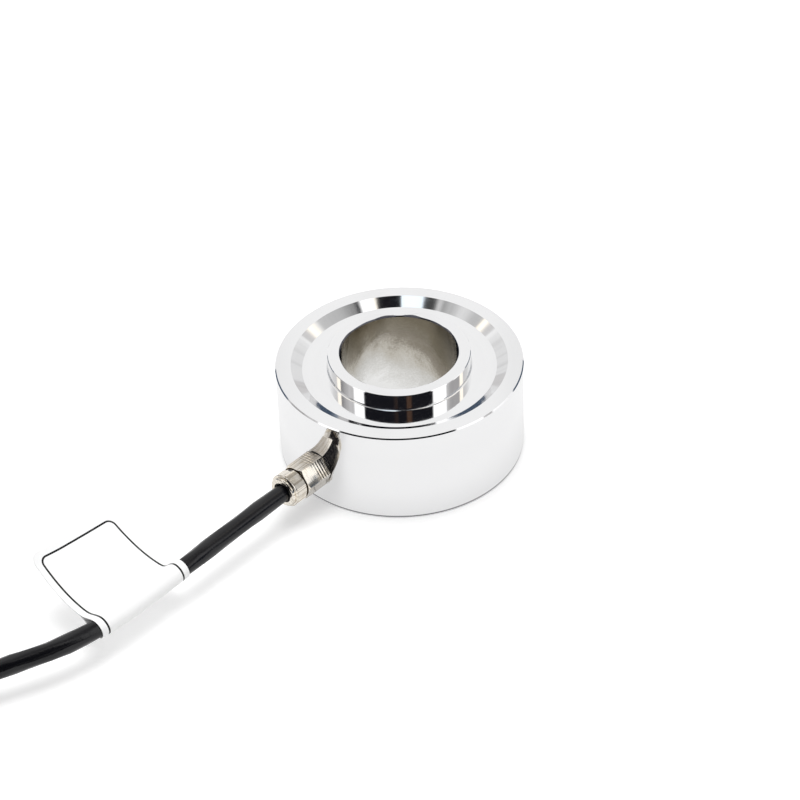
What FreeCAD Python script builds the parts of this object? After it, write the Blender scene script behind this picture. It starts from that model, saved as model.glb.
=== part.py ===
"""Ring force sensor with a radial cable gland, its free cable and a wrap-round label.

The sensor body is one turned piece of stainless steel. A load on the hub's top face passes
through the thin web into the outer ring and down to the ring's foot. The strain gauges sit
under the web, in a cavity that an annular cover closes from below.

Frame: millimetres, +Z up along the bore's axis, origin on the base plane at the bore's axis.
Azimuths are measured from +X towards +Y.
"""
import FreeCAD, Part
import math
import os

Vector = FreeCAD.Vector
UP = Vector(0, 0, 1)

# Sensor body
outer_diameter = 70.0
rim_height = 28.3
rim_inner_diameter = 61.1
recess_depth = 1.9
recess_floor_diameter = 54.9
hub_diameter = 40.3
hub_rise = 3.0
bore_diameter = 33.1
web_thickness = 5.0
cavity_diameter = 54.6
cavity_relief = 0.8
hub_root_relief = 0.25
bore_chamfer = 0.3
hub_edge_chamfer = 0.15
rim_edge_chamfer = 0.25
foot_edge_chamfer = 0.4

# Bottom cover
cover_thickness = 0.8
cover_lift = 0.8
cover_outer_diameter = 60.0
cover_inner_diameter = 36.8

# Cable gland, along its own axis
gland_azimuth = -132.9
gland_height = 11.6
gland_seat_diameter = 10.9
gland_seat_depth = 0.4
gland_thread_diameter = 7.0
gland_stub_end = 28.4
gland_hex_flats = 9.24
gland_hex_length = 8.4
gland_hex_turn = 6.9
gland_hex_end_diameter = 9.1
gland_neck_diameter = 6.8
gland_neck_length = 3.0
gland_pocket_depth = 0.8
seal_outer_diameter = 9.0

# Compression nut and sealing insert
nut_gap = 0.2
nut_flats = 8.45
nut_turn = 29.0
nut_hex_length = 3.7
nut_end_wall = 1.7
nut_ridge_diameter = 9.8
nut_ridge_width = 0.8
nut_groove_width = 0.1
nut_lip_bulge = 0.1
nut_groove_diameter = 8.6
nut_lip_diameter = 7.8
nut_mouth_diameter = 6.0
insert_flange_length = 0.9
insert_lip_set_back = 0.25

# Cable
cable_diameter = 5.0
cable_start = 29.0
cable_first_corner = 64.0
arc_share = 0.45

# Points of the free cable after its straight way out of the gland, chosen by hand
cable_run = [
    (-62.2, -66.9, 10.4),
    (-83.4, -88.9, 9.9),
    (-110.9, -100.6, 9.7),
    (-135.0, -108.5, 3.1),
    (-165.0, -108.5, 3.1),
]

# Storage coil of the cable's far length
coil_mean_radius = 30.0
coil_turns_across = 4
coil_layers = 3
coil_lift = 0.6
coil_edge = 1.4
coil_channel_clearance = 0.2
coil_channel_length = 25.0
top_turn_sink = 0.5
top_turn_sweep = 250.0
strap_width = 9.0
strap_thickness = 0.6
strap_azimuths = (60.0, 150.0, 240.0)

# Stripped far end
sleeve_diameter = 5.6
sleeve_length = 14.0
sleeve_neck_diameter = 4.2
sleeve_taper_start = 8.0
sleeve_taper_end = 10.5
core_diameter = 1.2
core_pitch = 1.5
shield_diameter = 0.7
tinned_length = 5.0
tinned_share = 0.65
free_lead_start = 5.0
free_lead_inset = 0.5

# Wrap-round label: its place along the cable, then the flag's curve in the cable's
# cross-section at its two ends, as sideways and upward offsets
label_distance = 58.2
label_width = 30.2
label_loop_wall = 0.3
label_flag_thickness = 0.5
label_corner_radius = 3.0
label_side_margin = 0.3
label_flag_at_start = [(1.4, -0.4), (14.5, -4.0), (28.5, 5.0)]
label_flag_at_end = [(1.3, 1.2), (14.5, -1.0), (24.6, 9.8)]

# Strain gauges, pads, board and wires
gauge_stations = 4
first_gauge_azimuth = gland_azimuth + 45.0
gauge_radial = 2.3
gauge_across = 4.0
gauge_thickness = 0.15
gauge_gap = 0.3
pad_offset = 14.0
pad_radial = 3.0
pad_across = 2.0
pad_thickness = 0.4
board_thickness = 1.0
board_clearance = 1.0
board_sweep = 330.0
resistor_count = 3
resistor_length = 3.4
resistor_diameter = 1.4
resistor_waist = 1.2
resistor_cap_length = 0.7
resistor_spacing = 14.0
first_resistor_offset = 75.0
wire_diameter = 0.4
wire_spacing = 1.0
core_spread = 2.0
core_first_run = 2.0
core_droop = 0.4
upper_core_set_back = 1.0
lower_core_set_out = 0.8

# Sizes that follow from those above
outer_radius = outer_diameter / 2
bore_radius = bore_diameter / 2
hub_radius = hub_diameter / 2
cavity_radius = cavity_diameter / 2
hub_top = rim_height + hub_rise
floor_level = rim_height - recess_depth
web_underside = floor_level - web_thickness
cover_top = cover_lift + cover_thickness
web_middle_radius = (hub_radius + cavity_radius) / 2
seat_radius = outer_radius - gland_seat_depth
hex_end = outer_radius + gland_hex_length
neck_end = hex_end + gland_neck_length
nut_start = hex_end + nut_gap
nut_shoulder = nut_start + nut_hex_length
nut_end = nut_shoulder + nut_end_wall
cable_radius = cable_diameter / 2
board_inner_radius = hub_radius + board_clearance
board_outer_radius = cavity_radius - board_clearance
board_top = cover_top + board_thickness
coil_half_width = coil_turns_across * cable_diameter / 2
coil_outer_radius = coil_mean_radius + coil_half_width
coil_inner_radius = coil_mean_radius - coil_half_width
coil_top = coil_lift + coil_layers * cable_diameter
coil_first_turn_radius = coil_outer_radius - cable_radius


def plane_face(points, closed_by_arcs=()):
    """Face in the XZ plane from outline points; an arc's middle point is flagged by its index."""
    edges = []
    outline = [Vector(r, 0, z) for r, z in points]
    count = len(outline)
    index = 0
    while index < count:
        start = outline[index]
        following = outline[(index + 1) % count]
        if (index + 1) % count in closed_by_arcs:
            end = outline[(index + 2) % count]
            edges.append(Part.Arc(start, following, end).toShape())
            index += 2
        else:
            edges.append(Part.LineSegment(start, following).toShape())
            index += 1
    return Part.Face(Part.Wire(edges))


def turned(points, arcs=(), sweep=360.0):
    """Solid of revolution about the Z axis from (radius, height) points."""
    return plane_face(points, arcs).revolve(Vector(0, 0, 0), UP, sweep)


def hexagon(flats, turn, start, end):
    """Hexagonal prism about the Z axis."""
    corner_radius = flats / math.sqrt(3)
    corners = []
    for step in range(7):
        angle = math.radians(turn + 60 * step)
        corners.append(Vector(corner_radius * math.cos(angle), corner_radius * math.sin(angle), start))
    return Part.Face(Part.makePolygon(corners)).extrude(UP * (end - start))


def rod(radius, start, end):
    """Cylinder about the Z axis between two heights."""
    return Part.makeCylinder(radius, end - start, Vector(0, 0, start))


def direction(azimuth):
    angle = math.radians(azimuth)
    return Vector(math.cos(angle), math.sin(angle), 0)


def radial_placement(azimuth, height):
    """Turns a shape built along +Z outwards along the azimuth, at the given height."""
    out = direction(azimuth)
    across = UP.cross(out)
    return FreeCAD.Placement(FreeCAD.Matrix(
        across.x, 0, out.x, 0,
        across.y, 0, out.y, 0,
        0, 1, 0, height,
        0, 0, 0, 1,
    ))


def on_gland_axis(shape):
    shape.Placement = radial_placement(gland_azimuth, gland_height)
    return shape


def polar(azimuth, radius, height):
    return direction(azimuth) * radius + UP * height


def gland_point(out, across, height):
    """Point at a distance along the gland's axis, to its side and at a height."""
    along = direction(gland_azimuth)
    return along * out + UP.cross(along) * across + UP * height


def route(points):
    """Straight runs joined by tangent arcs, each arc as large as its two runs allow."""
    edges = []
    radii = []
    start = points[0]
    for before, corner, after in zip(points, points[1:], points[2:]):
        run_in = corner - before
        run_out = after - corner
        half_turn = run_in.getAngle(run_out) / 2
        reach = arc_share * min(run_in.Length, run_out.Length)
        radius = reach / math.tan(half_turn)
        into = run_in.normalize()
        out = run_out.normalize()
        arc_start = corner - into * reach
        arc_end = corner + out * reach
        inwards = (out - into).normalize()
        middle = corner + inwards * (radius / math.cos(half_turn) - radius)
        edges.append(Part.LineSegment(start, arc_start).toShape())
        edges.append(Part.Arc(arc_start, middle, arc_end).toShape())
        radii.append(radius)
        start = arc_end
    edges.append(Part.LineSegment(start, points[-1]).toShape())
    return Part.Wire(edges), radii


def tube(points, diameter, label=None):
    """Round bar along a route; its volume is compared with its section times its length."""
    spine, radii = route(points)
    heading = (points[1] - points[0]).normalize()
    section = Part.Wire([Part.makeCircle(diameter / 2, points[0], heading)])
    bar = spine.makePipeShell([section], True, False)
    expected = math.pi * diameter ** 2 / 4 * spine.Length
    if label:
        print(f"{label}: length {spine.Length:.1f} mm, volume ratio {bar.Volume / expected:.5f}, "
              f"radii {[round(radius, 1) for radius in radii]}")
    return bar


def make_sensor_body():
    """Outer ring, web and hub turned as one, then the radial gland hole and its seat."""
    profile = [
        (bore_radius + bore_chamfer, cover_lift),
        (bore_radius, cover_lift + bore_chamfer),
        (bore_radius, hub_top - bore_chamfer),
        (bore_radius + bore_chamfer, hub_top),
        (hub_radius - hub_edge_chamfer, hub_top),
        (hub_radius, hub_top - hub_edge_chamfer),
        (hub_radius, floor_level + hub_root_relief),
        (hub_radius + hub_root_relief, floor_level),
        (recess_floor_diameter / 2, floor_level),
        (rim_inner_diameter / 2, rim_height),
        (outer_radius - rim_edge_chamfer, rim_height),
        (outer_radius, rim_height - rim_edge_chamfer),
        (outer_radius, foot_edge_chamfer),
        (outer_radius - foot_edge_chamfer, 0),
        (cover_outer_diameter / 2, 0),
        (cover_outer_diameter / 2, cover_top),
        (cavity_radius, cover_top),
        (cavity_radius, web_underside - cavity_relief),
        (cavity_radius - cavity_relief, web_underside),
        (hub_radius + cavity_relief, web_underside),
        (hub_radius, web_underside - cavity_relief),
        (hub_radius, cover_top),
        (cover_inner_diameter / 2, cover_top),
        (cover_inner_diameter / 2, cover_lift),
    ]
    body = turned(profile)
    gland_hole = rod(gland_thread_diameter / 2, web_middle_radius, outer_radius)
    gland_seat = rod(gland_seat_diameter / 2, seat_radius, outer_radius + 1)
    return body.cut(on_gland_axis(gland_hole.fuse(gland_seat)))


def make_bottom_cover():
    return turned([
        (cover_inner_diameter / 2, cover_lift),
        (cover_outer_diameter / 2, cover_lift),
        (cover_outer_diameter / 2, cover_top),
        (cover_inner_diameter / 2, cover_top),
    ])


def make_gland_body():
    """Hexagon with a threaded stub inwards and a threaded neck for the nut outwards."""
    hex_corner_radius = gland_hex_flats / math.sqrt(3)
    end_radius = gland_hex_end_diameter / 2
    chamfer_rise = (hex_corner_radius - end_radius) * math.tan(math.radians(30))
    blank = turned([
        (0, outer_radius),
        (hex_corner_radius, outer_radius),
        (hex_corner_radius, hex_end - chamfer_rise),
        (end_radius, hex_end),
        (0, hex_end),
    ])
    hexagonal = hexagon(gland_hex_flats, gland_hex_turn, outer_radius, hex_end).common(blank)
    stub = rod(gland_thread_diameter / 2, gland_stub_end, outer_radius)
    neck = rod(gland_neck_diameter / 2, hex_end, neck_end)
    solid = hexagonal.fuse([stub, neck]).removeSplitter()
    bore = rod(cable_radius, gland_stub_end, neck_end)
    pocket = rod(nut_mouth_diameter / 2, neck_end - gland_pocket_depth, neck_end)
    return on_gland_axis(solid.cut(bore.fuse(pocket)))


def make_gland_seal_ring():
    ring = rod(seal_outer_diameter / 2, seat_radius, outer_radius)
    return on_gland_axis(ring.cut(rod(gland_thread_diameter / 2, seat_radius, outer_radius)))


def make_gland_nut():
    """Nut with hexagon flats, then a round ridge, a groove and a rounded end."""
    corner_radius = nut_flats / math.sqrt(3)
    start_radius = nut_flats / 2
    chamfer_rise = (corner_radius - start_radius) * math.tan(math.radians(30))
    blank = turned([
        (0, nut_start),
        (start_radius, nut_start),
        (corner_radius, nut_start + chamfer_rise),
        (corner_radius, nut_shoulder),
        (0, nut_shoulder),
    ])
    flats = hexagon(nut_flats, nut_turn, nut_start, nut_shoulder).common(blank)
    ridge_radius = nut_ridge_diameter / 2
    groove_radius = nut_groove_diameter / 2
    ridge_bevel = nut_ridge_width / 4
    ridge_end = nut_shoulder + nut_ridge_width
    lip_start = ridge_end + nut_groove_width
    lip_radius = nut_lip_diameter / 2
    lip_bulge = (groove_radius + nut_lip_bulge, (lip_start + nut_end) / 2)
    end = turned([
        (0, nut_shoulder),
        (groove_radius, nut_shoulder),
        (ridge_radius, nut_shoulder + ridge_bevel),
        (ridge_radius, ridge_end - ridge_bevel),
        (groove_radius, ridge_end),
        (groove_radius, lip_start),
        lip_bulge,
        (lip_radius, nut_end),
        (0, nut_end),
    ], arcs=(6,))
    solid = flats.fuse(end)
    thread = rod(gland_neck_diameter / 2, nut_start, nut_shoulder)
    mouth = rod(nut_mouth_diameter / 2, nut_shoulder, nut_end)
    return on_gland_axis(solid.cut(thread.fuse(mouth)))


def make_gland_grommet():
    """Rubber insert: sleeve round the cable with a flange held between neck and nut."""
    sleeve = rod(nut_mouth_diameter / 2, neck_end - gland_pocket_depth, nut_end - insert_lip_set_back)
    flange = rod(gland_neck_diameter / 2, nut_shoulder - insert_flange_length, nut_shoulder)
    bore = rod(cable_radius, gland_stub_end, nut_end)
    return on_gland_axis(sleeve.fuse(flange).cut(bore))


def cable_points():
    """The cable's route, from its inner end to the coil."""
    inner_end = gland_point(cable_start, 0, gland_height)
    first_corner = gland_point(cable_first_corner, 0, gland_height)
    return [inner_end, first_corner] + [Vector(*point) for point in cable_run]


def make_cable_lead():
    return tube(cable_points(), cable_diameter, "cable_lead")


def coil_centre():
    """Centre of the coil on the base plane: the cable joins its outer, lowest turn."""
    entry = Vector(*cable_run[-1])
    return Vector(entry.x, entry.y + coil_first_turn_radius, 0)


def coil_point(azimuth, radius, height):
    return coil_centre() + polar(azimuth, radius, height)


def make_cable_coil():
    """Outer shape of the wound turns, with the last turn raised on top of them."""
    ring = turned([
        (coil_inner_radius, coil_lift + coil_edge),
        (coil_inner_radius + coil_edge, coil_lift),
        (coil_outer_radius - coil_edge, coil_lift),
        (coil_outer_radius, coil_lift + coil_edge),
        (coil_outer_radius, coil_top - coil_edge),
        (coil_outer_radius - coil_edge, coil_top),
        (coil_inner_radius + coil_edge, coil_top),
        (coil_inner_radius, coil_top - coil_edge),
    ])
    low = coil_top - top_turn_sink
    crown = coil_top + cable_diameter
    top_turn = turned([
        (coil_mean_radius - cable_radius, low),
        (coil_mean_radius + cable_radius, low),
        (coil_mean_radius + cable_radius, crown - coil_edge),
        (coil_mean_radius + cable_radius - coil_edge, crown),
        (coil_mean_radius - cable_radius + coil_edge, crown),
        (coil_mean_radius - cable_radius, crown - coil_edge),
    ], sweep=top_turn_sweep)
    top_turn.rotate(Vector(0, 0, 0), UP, -90 - top_turn_sweep)
    half_channel = cable_radius + coil_channel_clearance
    channel = Part.makeBox(
        coil_channel_length,
        2 * half_channel,
        cable_diameter + 2 * coil_channel_clearance + coil_lift,
        Vector(0, -coil_first_turn_radius - half_channel, 0),
    )
    coil = ring.fuse(top_turn).cut(channel)
    coil.translate(coil_centre())
    return coil


def make_coil_straps():
    """Straps round the bundle; each passes over the raised last turn."""
    inner_face = math.sqrt(coil_inner_radius ** 2 - (strap_width / 2) ** 2)
    outside = coil_outer_radius + strap_thickness
    inside = inner_face - strap_thickness
    shoulder = coil_top + strap_thickness
    crown = coil_top + cable_diameter
    half_crown = cable_radius
    outer = [
        (inside, 0),
        (outside, 0),
        (outside, shoulder),
        (coil_mean_radius + half_crown, crown + strap_thickness),
        (coil_mean_radius - half_crown, crown + strap_thickness),
        (inside, shoulder),
    ]
    inner = [
        (inner_face, coil_lift),
        (coil_outer_radius, coil_lift),
        (coil_outer_radius, coil_top),
        (coil_mean_radius + half_crown, crown),
        (coil_mean_radius - half_crown, crown),
        (inner_face, coil_top),
    ]
    band = plane_face(outer).cut(plane_face(inner)).extrude(Vector(0, strap_width, 0))
    band.translate(Vector(0, -strap_width / 2, 0))
    straps = []
    for azimuth in strap_azimuths:
        strap = band.copy()
        strap.rotate(Vector(0, 0, 0), UP, azimuth)
        strap.translate(coil_centre())
        straps.append(strap)
    return Part.makeCompound(straps)


def sleeve_frame():
    """Start, heading and side of the stripped end, where the raised last turn stops."""
    azimuth = -90 - top_turn_sweep
    start = coil_point(azimuth, coil_mean_radius, coil_top + sleeve_diameter / 2)
    outwards = direction(azimuth)
    heading = outwards.cross(UP)
    return start, heading, outwards


def make_end_sleeve():
    start, heading, outwards = sleeve_frame()
    sleeve = turned([
        (0, 0),
        (sleeve_diameter / 2, 0),
        (sleeve_diameter / 2, sleeve_taper_start),
        (sleeve_neck_diameter / 2, sleeve_taper_end),
        (sleeve_neck_diameter / 2, sleeve_length),
        (0, sleeve_length),
    ])
    sleeve.Placement = FreeCAD.Placement(start, FreeCAD.Rotation(UP, heading))
    return sleeve


def make_free_lead(side, level, diameter, azimuths, radius):
    """One free core: out of the sleeve, down to the coil's top and round on it."""
    start, heading, outwards = sleeve_frame()
    first = start + heading * sleeve_length + outwards * side + UP * level
    rest_height = coil_top + diameter / 2
    points = [first, first + heading * free_lead_start]
    points.append(coil_point(azimuths[0], radius - free_lead_inset, (rest_height + points[1].z) / 2))
    for azimuth in azimuths[1:]:
        points.append(coil_point(azimuth, radius, rest_height))
    tip_heading = (points[-1] - points[-2]).normalize()
    tip_radius = tinned_share * diameter / 2
    tip = Part.makeCylinder(tip_radius, tinned_length, points[-1], tip_heading)
    return tube(points, diameter).fuse(tip)


def point_along(spine, distance):
    """Point on a wire at a distance from its start."""
    for edge in spine.OrderedEdges:
        if distance <= edge.Length:
            return edge.valueAt(edge.getParameterByLength(distance))
        distance -= edge.Length
    return spine.OrderedVertexes[-1].Point


def cross_section_point(station, along, offset):
    """Point beside the cable's axis: sideways to the back left, and up."""
    across = along.cross(UP).normalize()
    above = across.cross(along)
    return station + across * offset[0] + above * offset[1]


def prism_with_round_corners(plan, radius, rounded, height):
    """Upright prism over a plan outline, with the upright edges at some corners rounded."""
    corners = [Vector(point.x, point.y, 0) for point in plan]
    prism = Part.Face(Part.makePolygon(corners + corners[:1])).extrude(UP * height)
    chosen = [corners[index] + UP * height / 2 for index in rounded]
    edges = [edge for edge in prism.Edges
             if any((edge.CenterOfMass - middle).Length < 0.01 for middle in chosen)]
    return prism.makeFillet(radius, edges)


def make_cable_label(cable):
    """One folded film: a loop round the cable and a curved flag of its two ends."""
    spine, radii = route(cable_points())
    start = point_along(spine, label_distance)
    end = point_along(spine, label_distance + label_width)
    along = (end - start).normalize()
    edges = []
    tips = []
    for station, poles in ((start, label_flag_at_start), (end, label_flag_at_end)):
        curve = Part.BezierCurve()
        curve.setPoles([cross_section_point(station, along, pole) for pole in poles])
        edges.append(curve.toShape())
        tips.append(curve.EndPoint)
    thickness = UP * label_flag_thickness
    flag = Part.makeRuledSurface(*edges).extrude(thickness)
    flag.translate(thickness * -0.5)
    side_margin = along * label_side_margin
    plan = [start - side_margin, tips[0] - side_margin, tips[1] + side_margin, end + side_margin]
    trim = prism_with_round_corners(plan, label_corner_radius, (1, 2), 2 * tips[1].z)
    flag = flag.common(trim)
    slab = Part.makeCylinder(2 * cable_diameter, (end - start).Length, start, along)
    loop = tube(cable_points(), cable_diameter + 2 * label_loop_wall).common(slab)
    return flag.fuse(loop).cut(cable)


def patch(azimuth, radius, radial, across, low, high):
    """Small flat block in the gauge cavity, square to the radius."""
    block = Part.makeBox(radial, across, high - low, Vector(radius - radial / 2, -across / 2, low))
    block.rotate(Vector(0, 0, 0), UP, azimuth)
    return block


def gauge_azimuths():
    return [first_gauge_azimuth + 360 / gauge_stations * step for step in range(gauge_stations)]


def make_strain_gauges():
    """A pair at each station: one by the hub, where the web bends down, and one by the ring."""
    offset = (gauge_radial + gauge_gap) / 2
    gauges = []
    for azimuth in gauge_azimuths():
        for radius in (web_middle_radius - offset, web_middle_radius + offset):
            gauges.append(patch(azimuth, radius, gauge_radial, gauge_across,
                                web_underside - gauge_thickness, web_underside))
    return gauges


def make_terminal_pads():
    return [patch(azimuth + pad_offset, web_middle_radius, pad_radial, pad_across,
                  web_underside - pad_thickness, web_underside)
            for azimuth in gauge_azimuths()]


def make_balance_board():
    board = turned([
        (board_inner_radius, cover_top),
        (board_outer_radius, cover_top),
        (board_outer_radius, board_top),
        (board_inner_radius, board_top),
    ], sweep=board_sweep)
    board.rotate(Vector(0, 0, 0), UP, gland_azimuth - board_sweep / 2)
    return board


def make_trim_resistors():
    """Round chip resistors that lie on the board, square to the radius."""
    radius = resistor_diameter / 2
    waist = resistor_waist / 2
    half = resistor_length / 2
    resistors = []
    for step in range(resistor_count):
        resistor = turned([
            (0, -half),
            (radius, -half),
            (radius, resistor_cap_length - half),
            (waist, resistor_cap_length - half),
            (waist, half - resistor_cap_length),
            (radius, half - resistor_cap_length),
            (radius, half),
            (0, half),
        ])
        azimuth = gland_azimuth + first_resistor_offset + resistor_spacing * step
        across = UP.cross(direction(azimuth))
        resistor.Placement = FreeCAD.Placement(
            polar(azimuth, web_middle_radius, board_top + radius), FreeCAD.Rotation(UP, across))
        resistors.append(resistor)
    return resistors


def make_gauge_wires():
    """Two straight wires from each pad down to the board."""
    wires = []
    for azimuth in gauge_azimuths():
        for side in (-wire_spacing / 2, wire_spacing / 2):
            wire = rod(wire_diameter / 2, board_top, web_underside - pad_thickness)
            wire.translate(Vector(web_middle_radius, side, 0))
            wire.rotate(Vector(0, 0, 0), UP, azimuth + pad_offset)
            wires.append(wire)
    return Part.makeCompound(wires)


def make_inner_core(side, level, landing_out, landing_across):
    """One cable core from the cable's inner end down to the board."""
    height = gland_height + level
    return tube([
        gland_point(cable_start, side, height),
        gland_point(cable_start - core_first_run, side, height),
        gland_point(landing_out, landing_across, height - core_droop),
        gland_point(landing_out, landing_across, board_top),
    ], core_diameter)


def make_parts():
    half_pitch = core_pitch / 2
    cable = make_cable_lead()
    nodes = {
        "sensor_body": make_sensor_body(),
        "bottom_cover": make_bottom_cover(),
        "gland_body": make_gland_body(),
        "gland_seal_ring": make_gland_seal_ring(),
        "gland_nut": make_gland_nut(),
        "gland_grommet": make_gland_grommet(),
        "cable_lead": cable,
        "cable_coil": make_cable_coil(),
        "coil_straps": make_coil_straps(),
        "cable_label": make_cable_label(cable),
        "end_sleeve": make_end_sleeve(),
        "balance_board": make_balance_board(),
        "gauge_wires": make_gauge_wires(),
    }
    for number, gauge in enumerate(make_strain_gauges(), start=1):
        nodes[f"strain_gauge_{number}"] = gauge
    for number, pad in enumerate(make_terminal_pads(), start=1):
        nodes[f"terminal_pad_{number}"] = pad
    for number, resistor in enumerate(make_trim_resistors(), start=1):
        nodes[f"trim_resistor_{number}"] = resistor
    upper_landing = web_middle_radius - upper_core_set_back
    lower_landing = web_middle_radius + lower_core_set_out
    inner_cores = {
        "red": (half_pitch, half_pitch, upper_landing, 1.5 * core_spread),
        "black": (half_pitch, -half_pitch, lower_landing, 0.5 * core_spread),
        "green": (-half_pitch, -half_pitch, lower_landing, -0.5 * core_spread),
        "white": (-half_pitch, half_pitch, upper_landing, -1.5 * core_spread),
    }
    for colour, (side, level, out, across) in inner_cores.items():
        nodes[f"core_{colour}"] = make_inner_core(side, level, out, across)
    free_leads = {
        "lead_red": (half_pitch, half_pitch, core_diameter, (-22, -45, -68), 37.6),
        "lead_green": (half_pitch, -half_pitch, core_diameter, (-20, -42, -65), 35.0),
        "shield_lead": (0, 0, shield_diameter, (-24, -47, -70), 32.4),
        "lead_black": (-half_pitch, half_pitch, core_diameter, (-23, -48, -74), 29.6),
        "lead_white": (-half_pitch, -half_pitch, core_diameter, (-21, -46, -72), 26.8),
    }
    for name, (side, level, diameter, azimuths, radius) in free_leads.items():
        nodes[name] = make_free_lead(side, level, diameter, azimuths, radius)
    return nodes


def main():
    os.makedirs("parts", exist_ok=True)
    for name, shape in make_parts().items():
        shape.exportStep(f"parts/{name}.step")
        solids = len(shape.Solids)
        print(f"{name}: {solids} solid(s), volume {shape.Volume:.2f} mm3, valid {shape.isValid()}")


main()
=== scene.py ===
"""Finish, cable and setting of a ring force sensor, built round its fixed frame.

The frame holds every solid at its real size, in metres, with +Z along the bore and the origin
on the base plane. This file adds the polished ring, the plated gland, the cable with its wound
length and its label, the far end's cores, the finishes and the studio.
"""

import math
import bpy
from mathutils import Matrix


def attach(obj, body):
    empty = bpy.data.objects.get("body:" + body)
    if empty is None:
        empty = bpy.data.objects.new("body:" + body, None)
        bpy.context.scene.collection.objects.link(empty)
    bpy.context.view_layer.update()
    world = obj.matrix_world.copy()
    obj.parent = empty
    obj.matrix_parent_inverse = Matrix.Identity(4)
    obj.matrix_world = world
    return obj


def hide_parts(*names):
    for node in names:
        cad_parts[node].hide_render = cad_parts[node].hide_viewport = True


bl_info = {
    "name": "Ring Force Sensor",
    "version": (1, 0, 0),
    "blender": (4, 5, 0),
    "location": "View3D > Sidebar > Ring Sensor",
    "description": "Builds the visible pieces and finishes of a ring force sensor",
    "category": "Object",
}

from types import SimpleNamespace

import bmesh
import bpy
from bpy.props import FloatProperty, FloatVectorProperty, IntProperty, PointerProperty
from bpy.types import Operator, Panel, PropertyGroup
from mathutils import Matrix, Vector, noise

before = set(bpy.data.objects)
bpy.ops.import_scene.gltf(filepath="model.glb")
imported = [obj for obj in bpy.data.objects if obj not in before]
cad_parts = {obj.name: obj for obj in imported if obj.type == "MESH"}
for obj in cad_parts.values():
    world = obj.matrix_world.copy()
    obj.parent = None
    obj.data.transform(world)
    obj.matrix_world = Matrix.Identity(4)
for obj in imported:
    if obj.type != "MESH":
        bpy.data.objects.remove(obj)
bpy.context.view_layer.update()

UP = Vector((0, 0, 1))
BODY = "root"

# In metres: how near a vertex is to the edge that is meant, how near two doubles are, what rounding may
# add to a length, and how far a cutter reaches past its piece
CLOSE = 1e-5
DOUBLE = 1e-7
ROUNDING = 1e-9
OVERSHOOT = 0.001

# The ring's finishes by zone, in the order of its material slots
RING_ZONES = ("wall", "flats", "slopes", "bore", "underside", "broken edge", "foot", "hub root")

# How a face's zone is told: distance from a wall's radius in metres, and upward part of its normal, which
# is at most this on a wall, at least this on a flat, and between these on the hub's root
NEAR_WALL = 0.0002
WALL_TILT = 0.2
FLAT_TILT = 0.95
ROOT_TILT = (0.05, 0.999)

# Where the gland's hole starts from the bore's axis, inside the gauge cavity
HOLE_START = 0.02

# The free cable's points after its straight way out of the gland, in metres
CABLE_RUN = [
    (-0.0622, -0.0669, 0.0104),
    (-0.0834, -0.0889, 0.0099),
    (-0.1109, -0.1006, 0.0097),
    (-0.1350, -0.1085, 0.0031),
    (-0.1650, -0.1085, 0.0031),
]

# Bearing at which the cable joins the coil, in degrees
COIL_START = -90

# The cable's last two points, along the shrink sleeve from its start
CABLE_END = (-0.004, 0.001)

# How finely the cable's tube is rounded, which gives it this many sides
CABLE_ROUNDNESS = 10
CABLE_SIDES = 2 * CABLE_ROUNDNESS + 4

# Unevenness of the bore's upper edge: how fast it changes round the bore, and which stretch of noise
WOBBLE_PACE = 3.0
WOBBLE_START = 0.3

# Dents of the bore's upper edge: azimuth and half width in degrees, depth in metres
EDGE_DENTS = [(102, 13, 0.00055), (76, 11, 0.00045), (33, 9, 0.00018), (148, 10, 0.00016)]

# Free cores: name, sideways and upward place in the sleeve, azimuths on the coil, radius there
FREE_CORES = [
    ("red", 0.5, 0.5, (-22, -45, -68), 0.0376),
    ("green", 0.5, -0.5, (-20, -42, -65), 0.0350),
    ("black", -0.5, 0.5, (-23, -48, -74), 0.0296),
    ("white", -0.5, -0.5, (-21, -46, -72), 0.0268),
]
SCREEN_AZIMUTHS = (-24, -47, -70)
SCREEN_RADIUS = 0.0324

# Bearings of the three straps about the coil, in degrees, and steps across a strap
STRAP_BEARINGS = (60, 150, 240)
STRAP_STEPS = 9

# Points of the cable's route that reach past the label, and steps of the flag's first, fine curve
LABEL_ROUTE = 9
FLAG_CURVE_STEPS = 200

# How far each of the flag's two films lies from their middle, by a film's thickness, and how far the
# ends of the film's eased run draw it, by the run's length
GLUE = 0.55
EASE = 0.4

# Film section at the label's two ends: the flag's curve beside the cable, sideways and up
FLAG_AT_START = [(0.0014, -0.0006), (0.0145, -0.0044), (0.0283, 0.0040)]
FLAG_AT_END = [(0.0013, 0.0012), (0.0147, -0.0008), (0.0252, 0.0106)]


def length(name, description, default):
    return FloatProperty(name=name, description=description, default=default, precision=5,
                         unit="LENGTH")


def angle(name, description, degrees):
    return FloatProperty(name=name, description=description, default=math.radians(degrees),
                         unit="ROTATION")


def share(name, description, default):
    return FloatProperty(name=name, description=description, default=default, min=0, max=1,
                         subtype="FACTOR")


def colour(name, description, default):
    return FloatVectorProperty(name=name, description=description, default=default, size=3,
                               min=0, max=1, subtype="COLOR")


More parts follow.
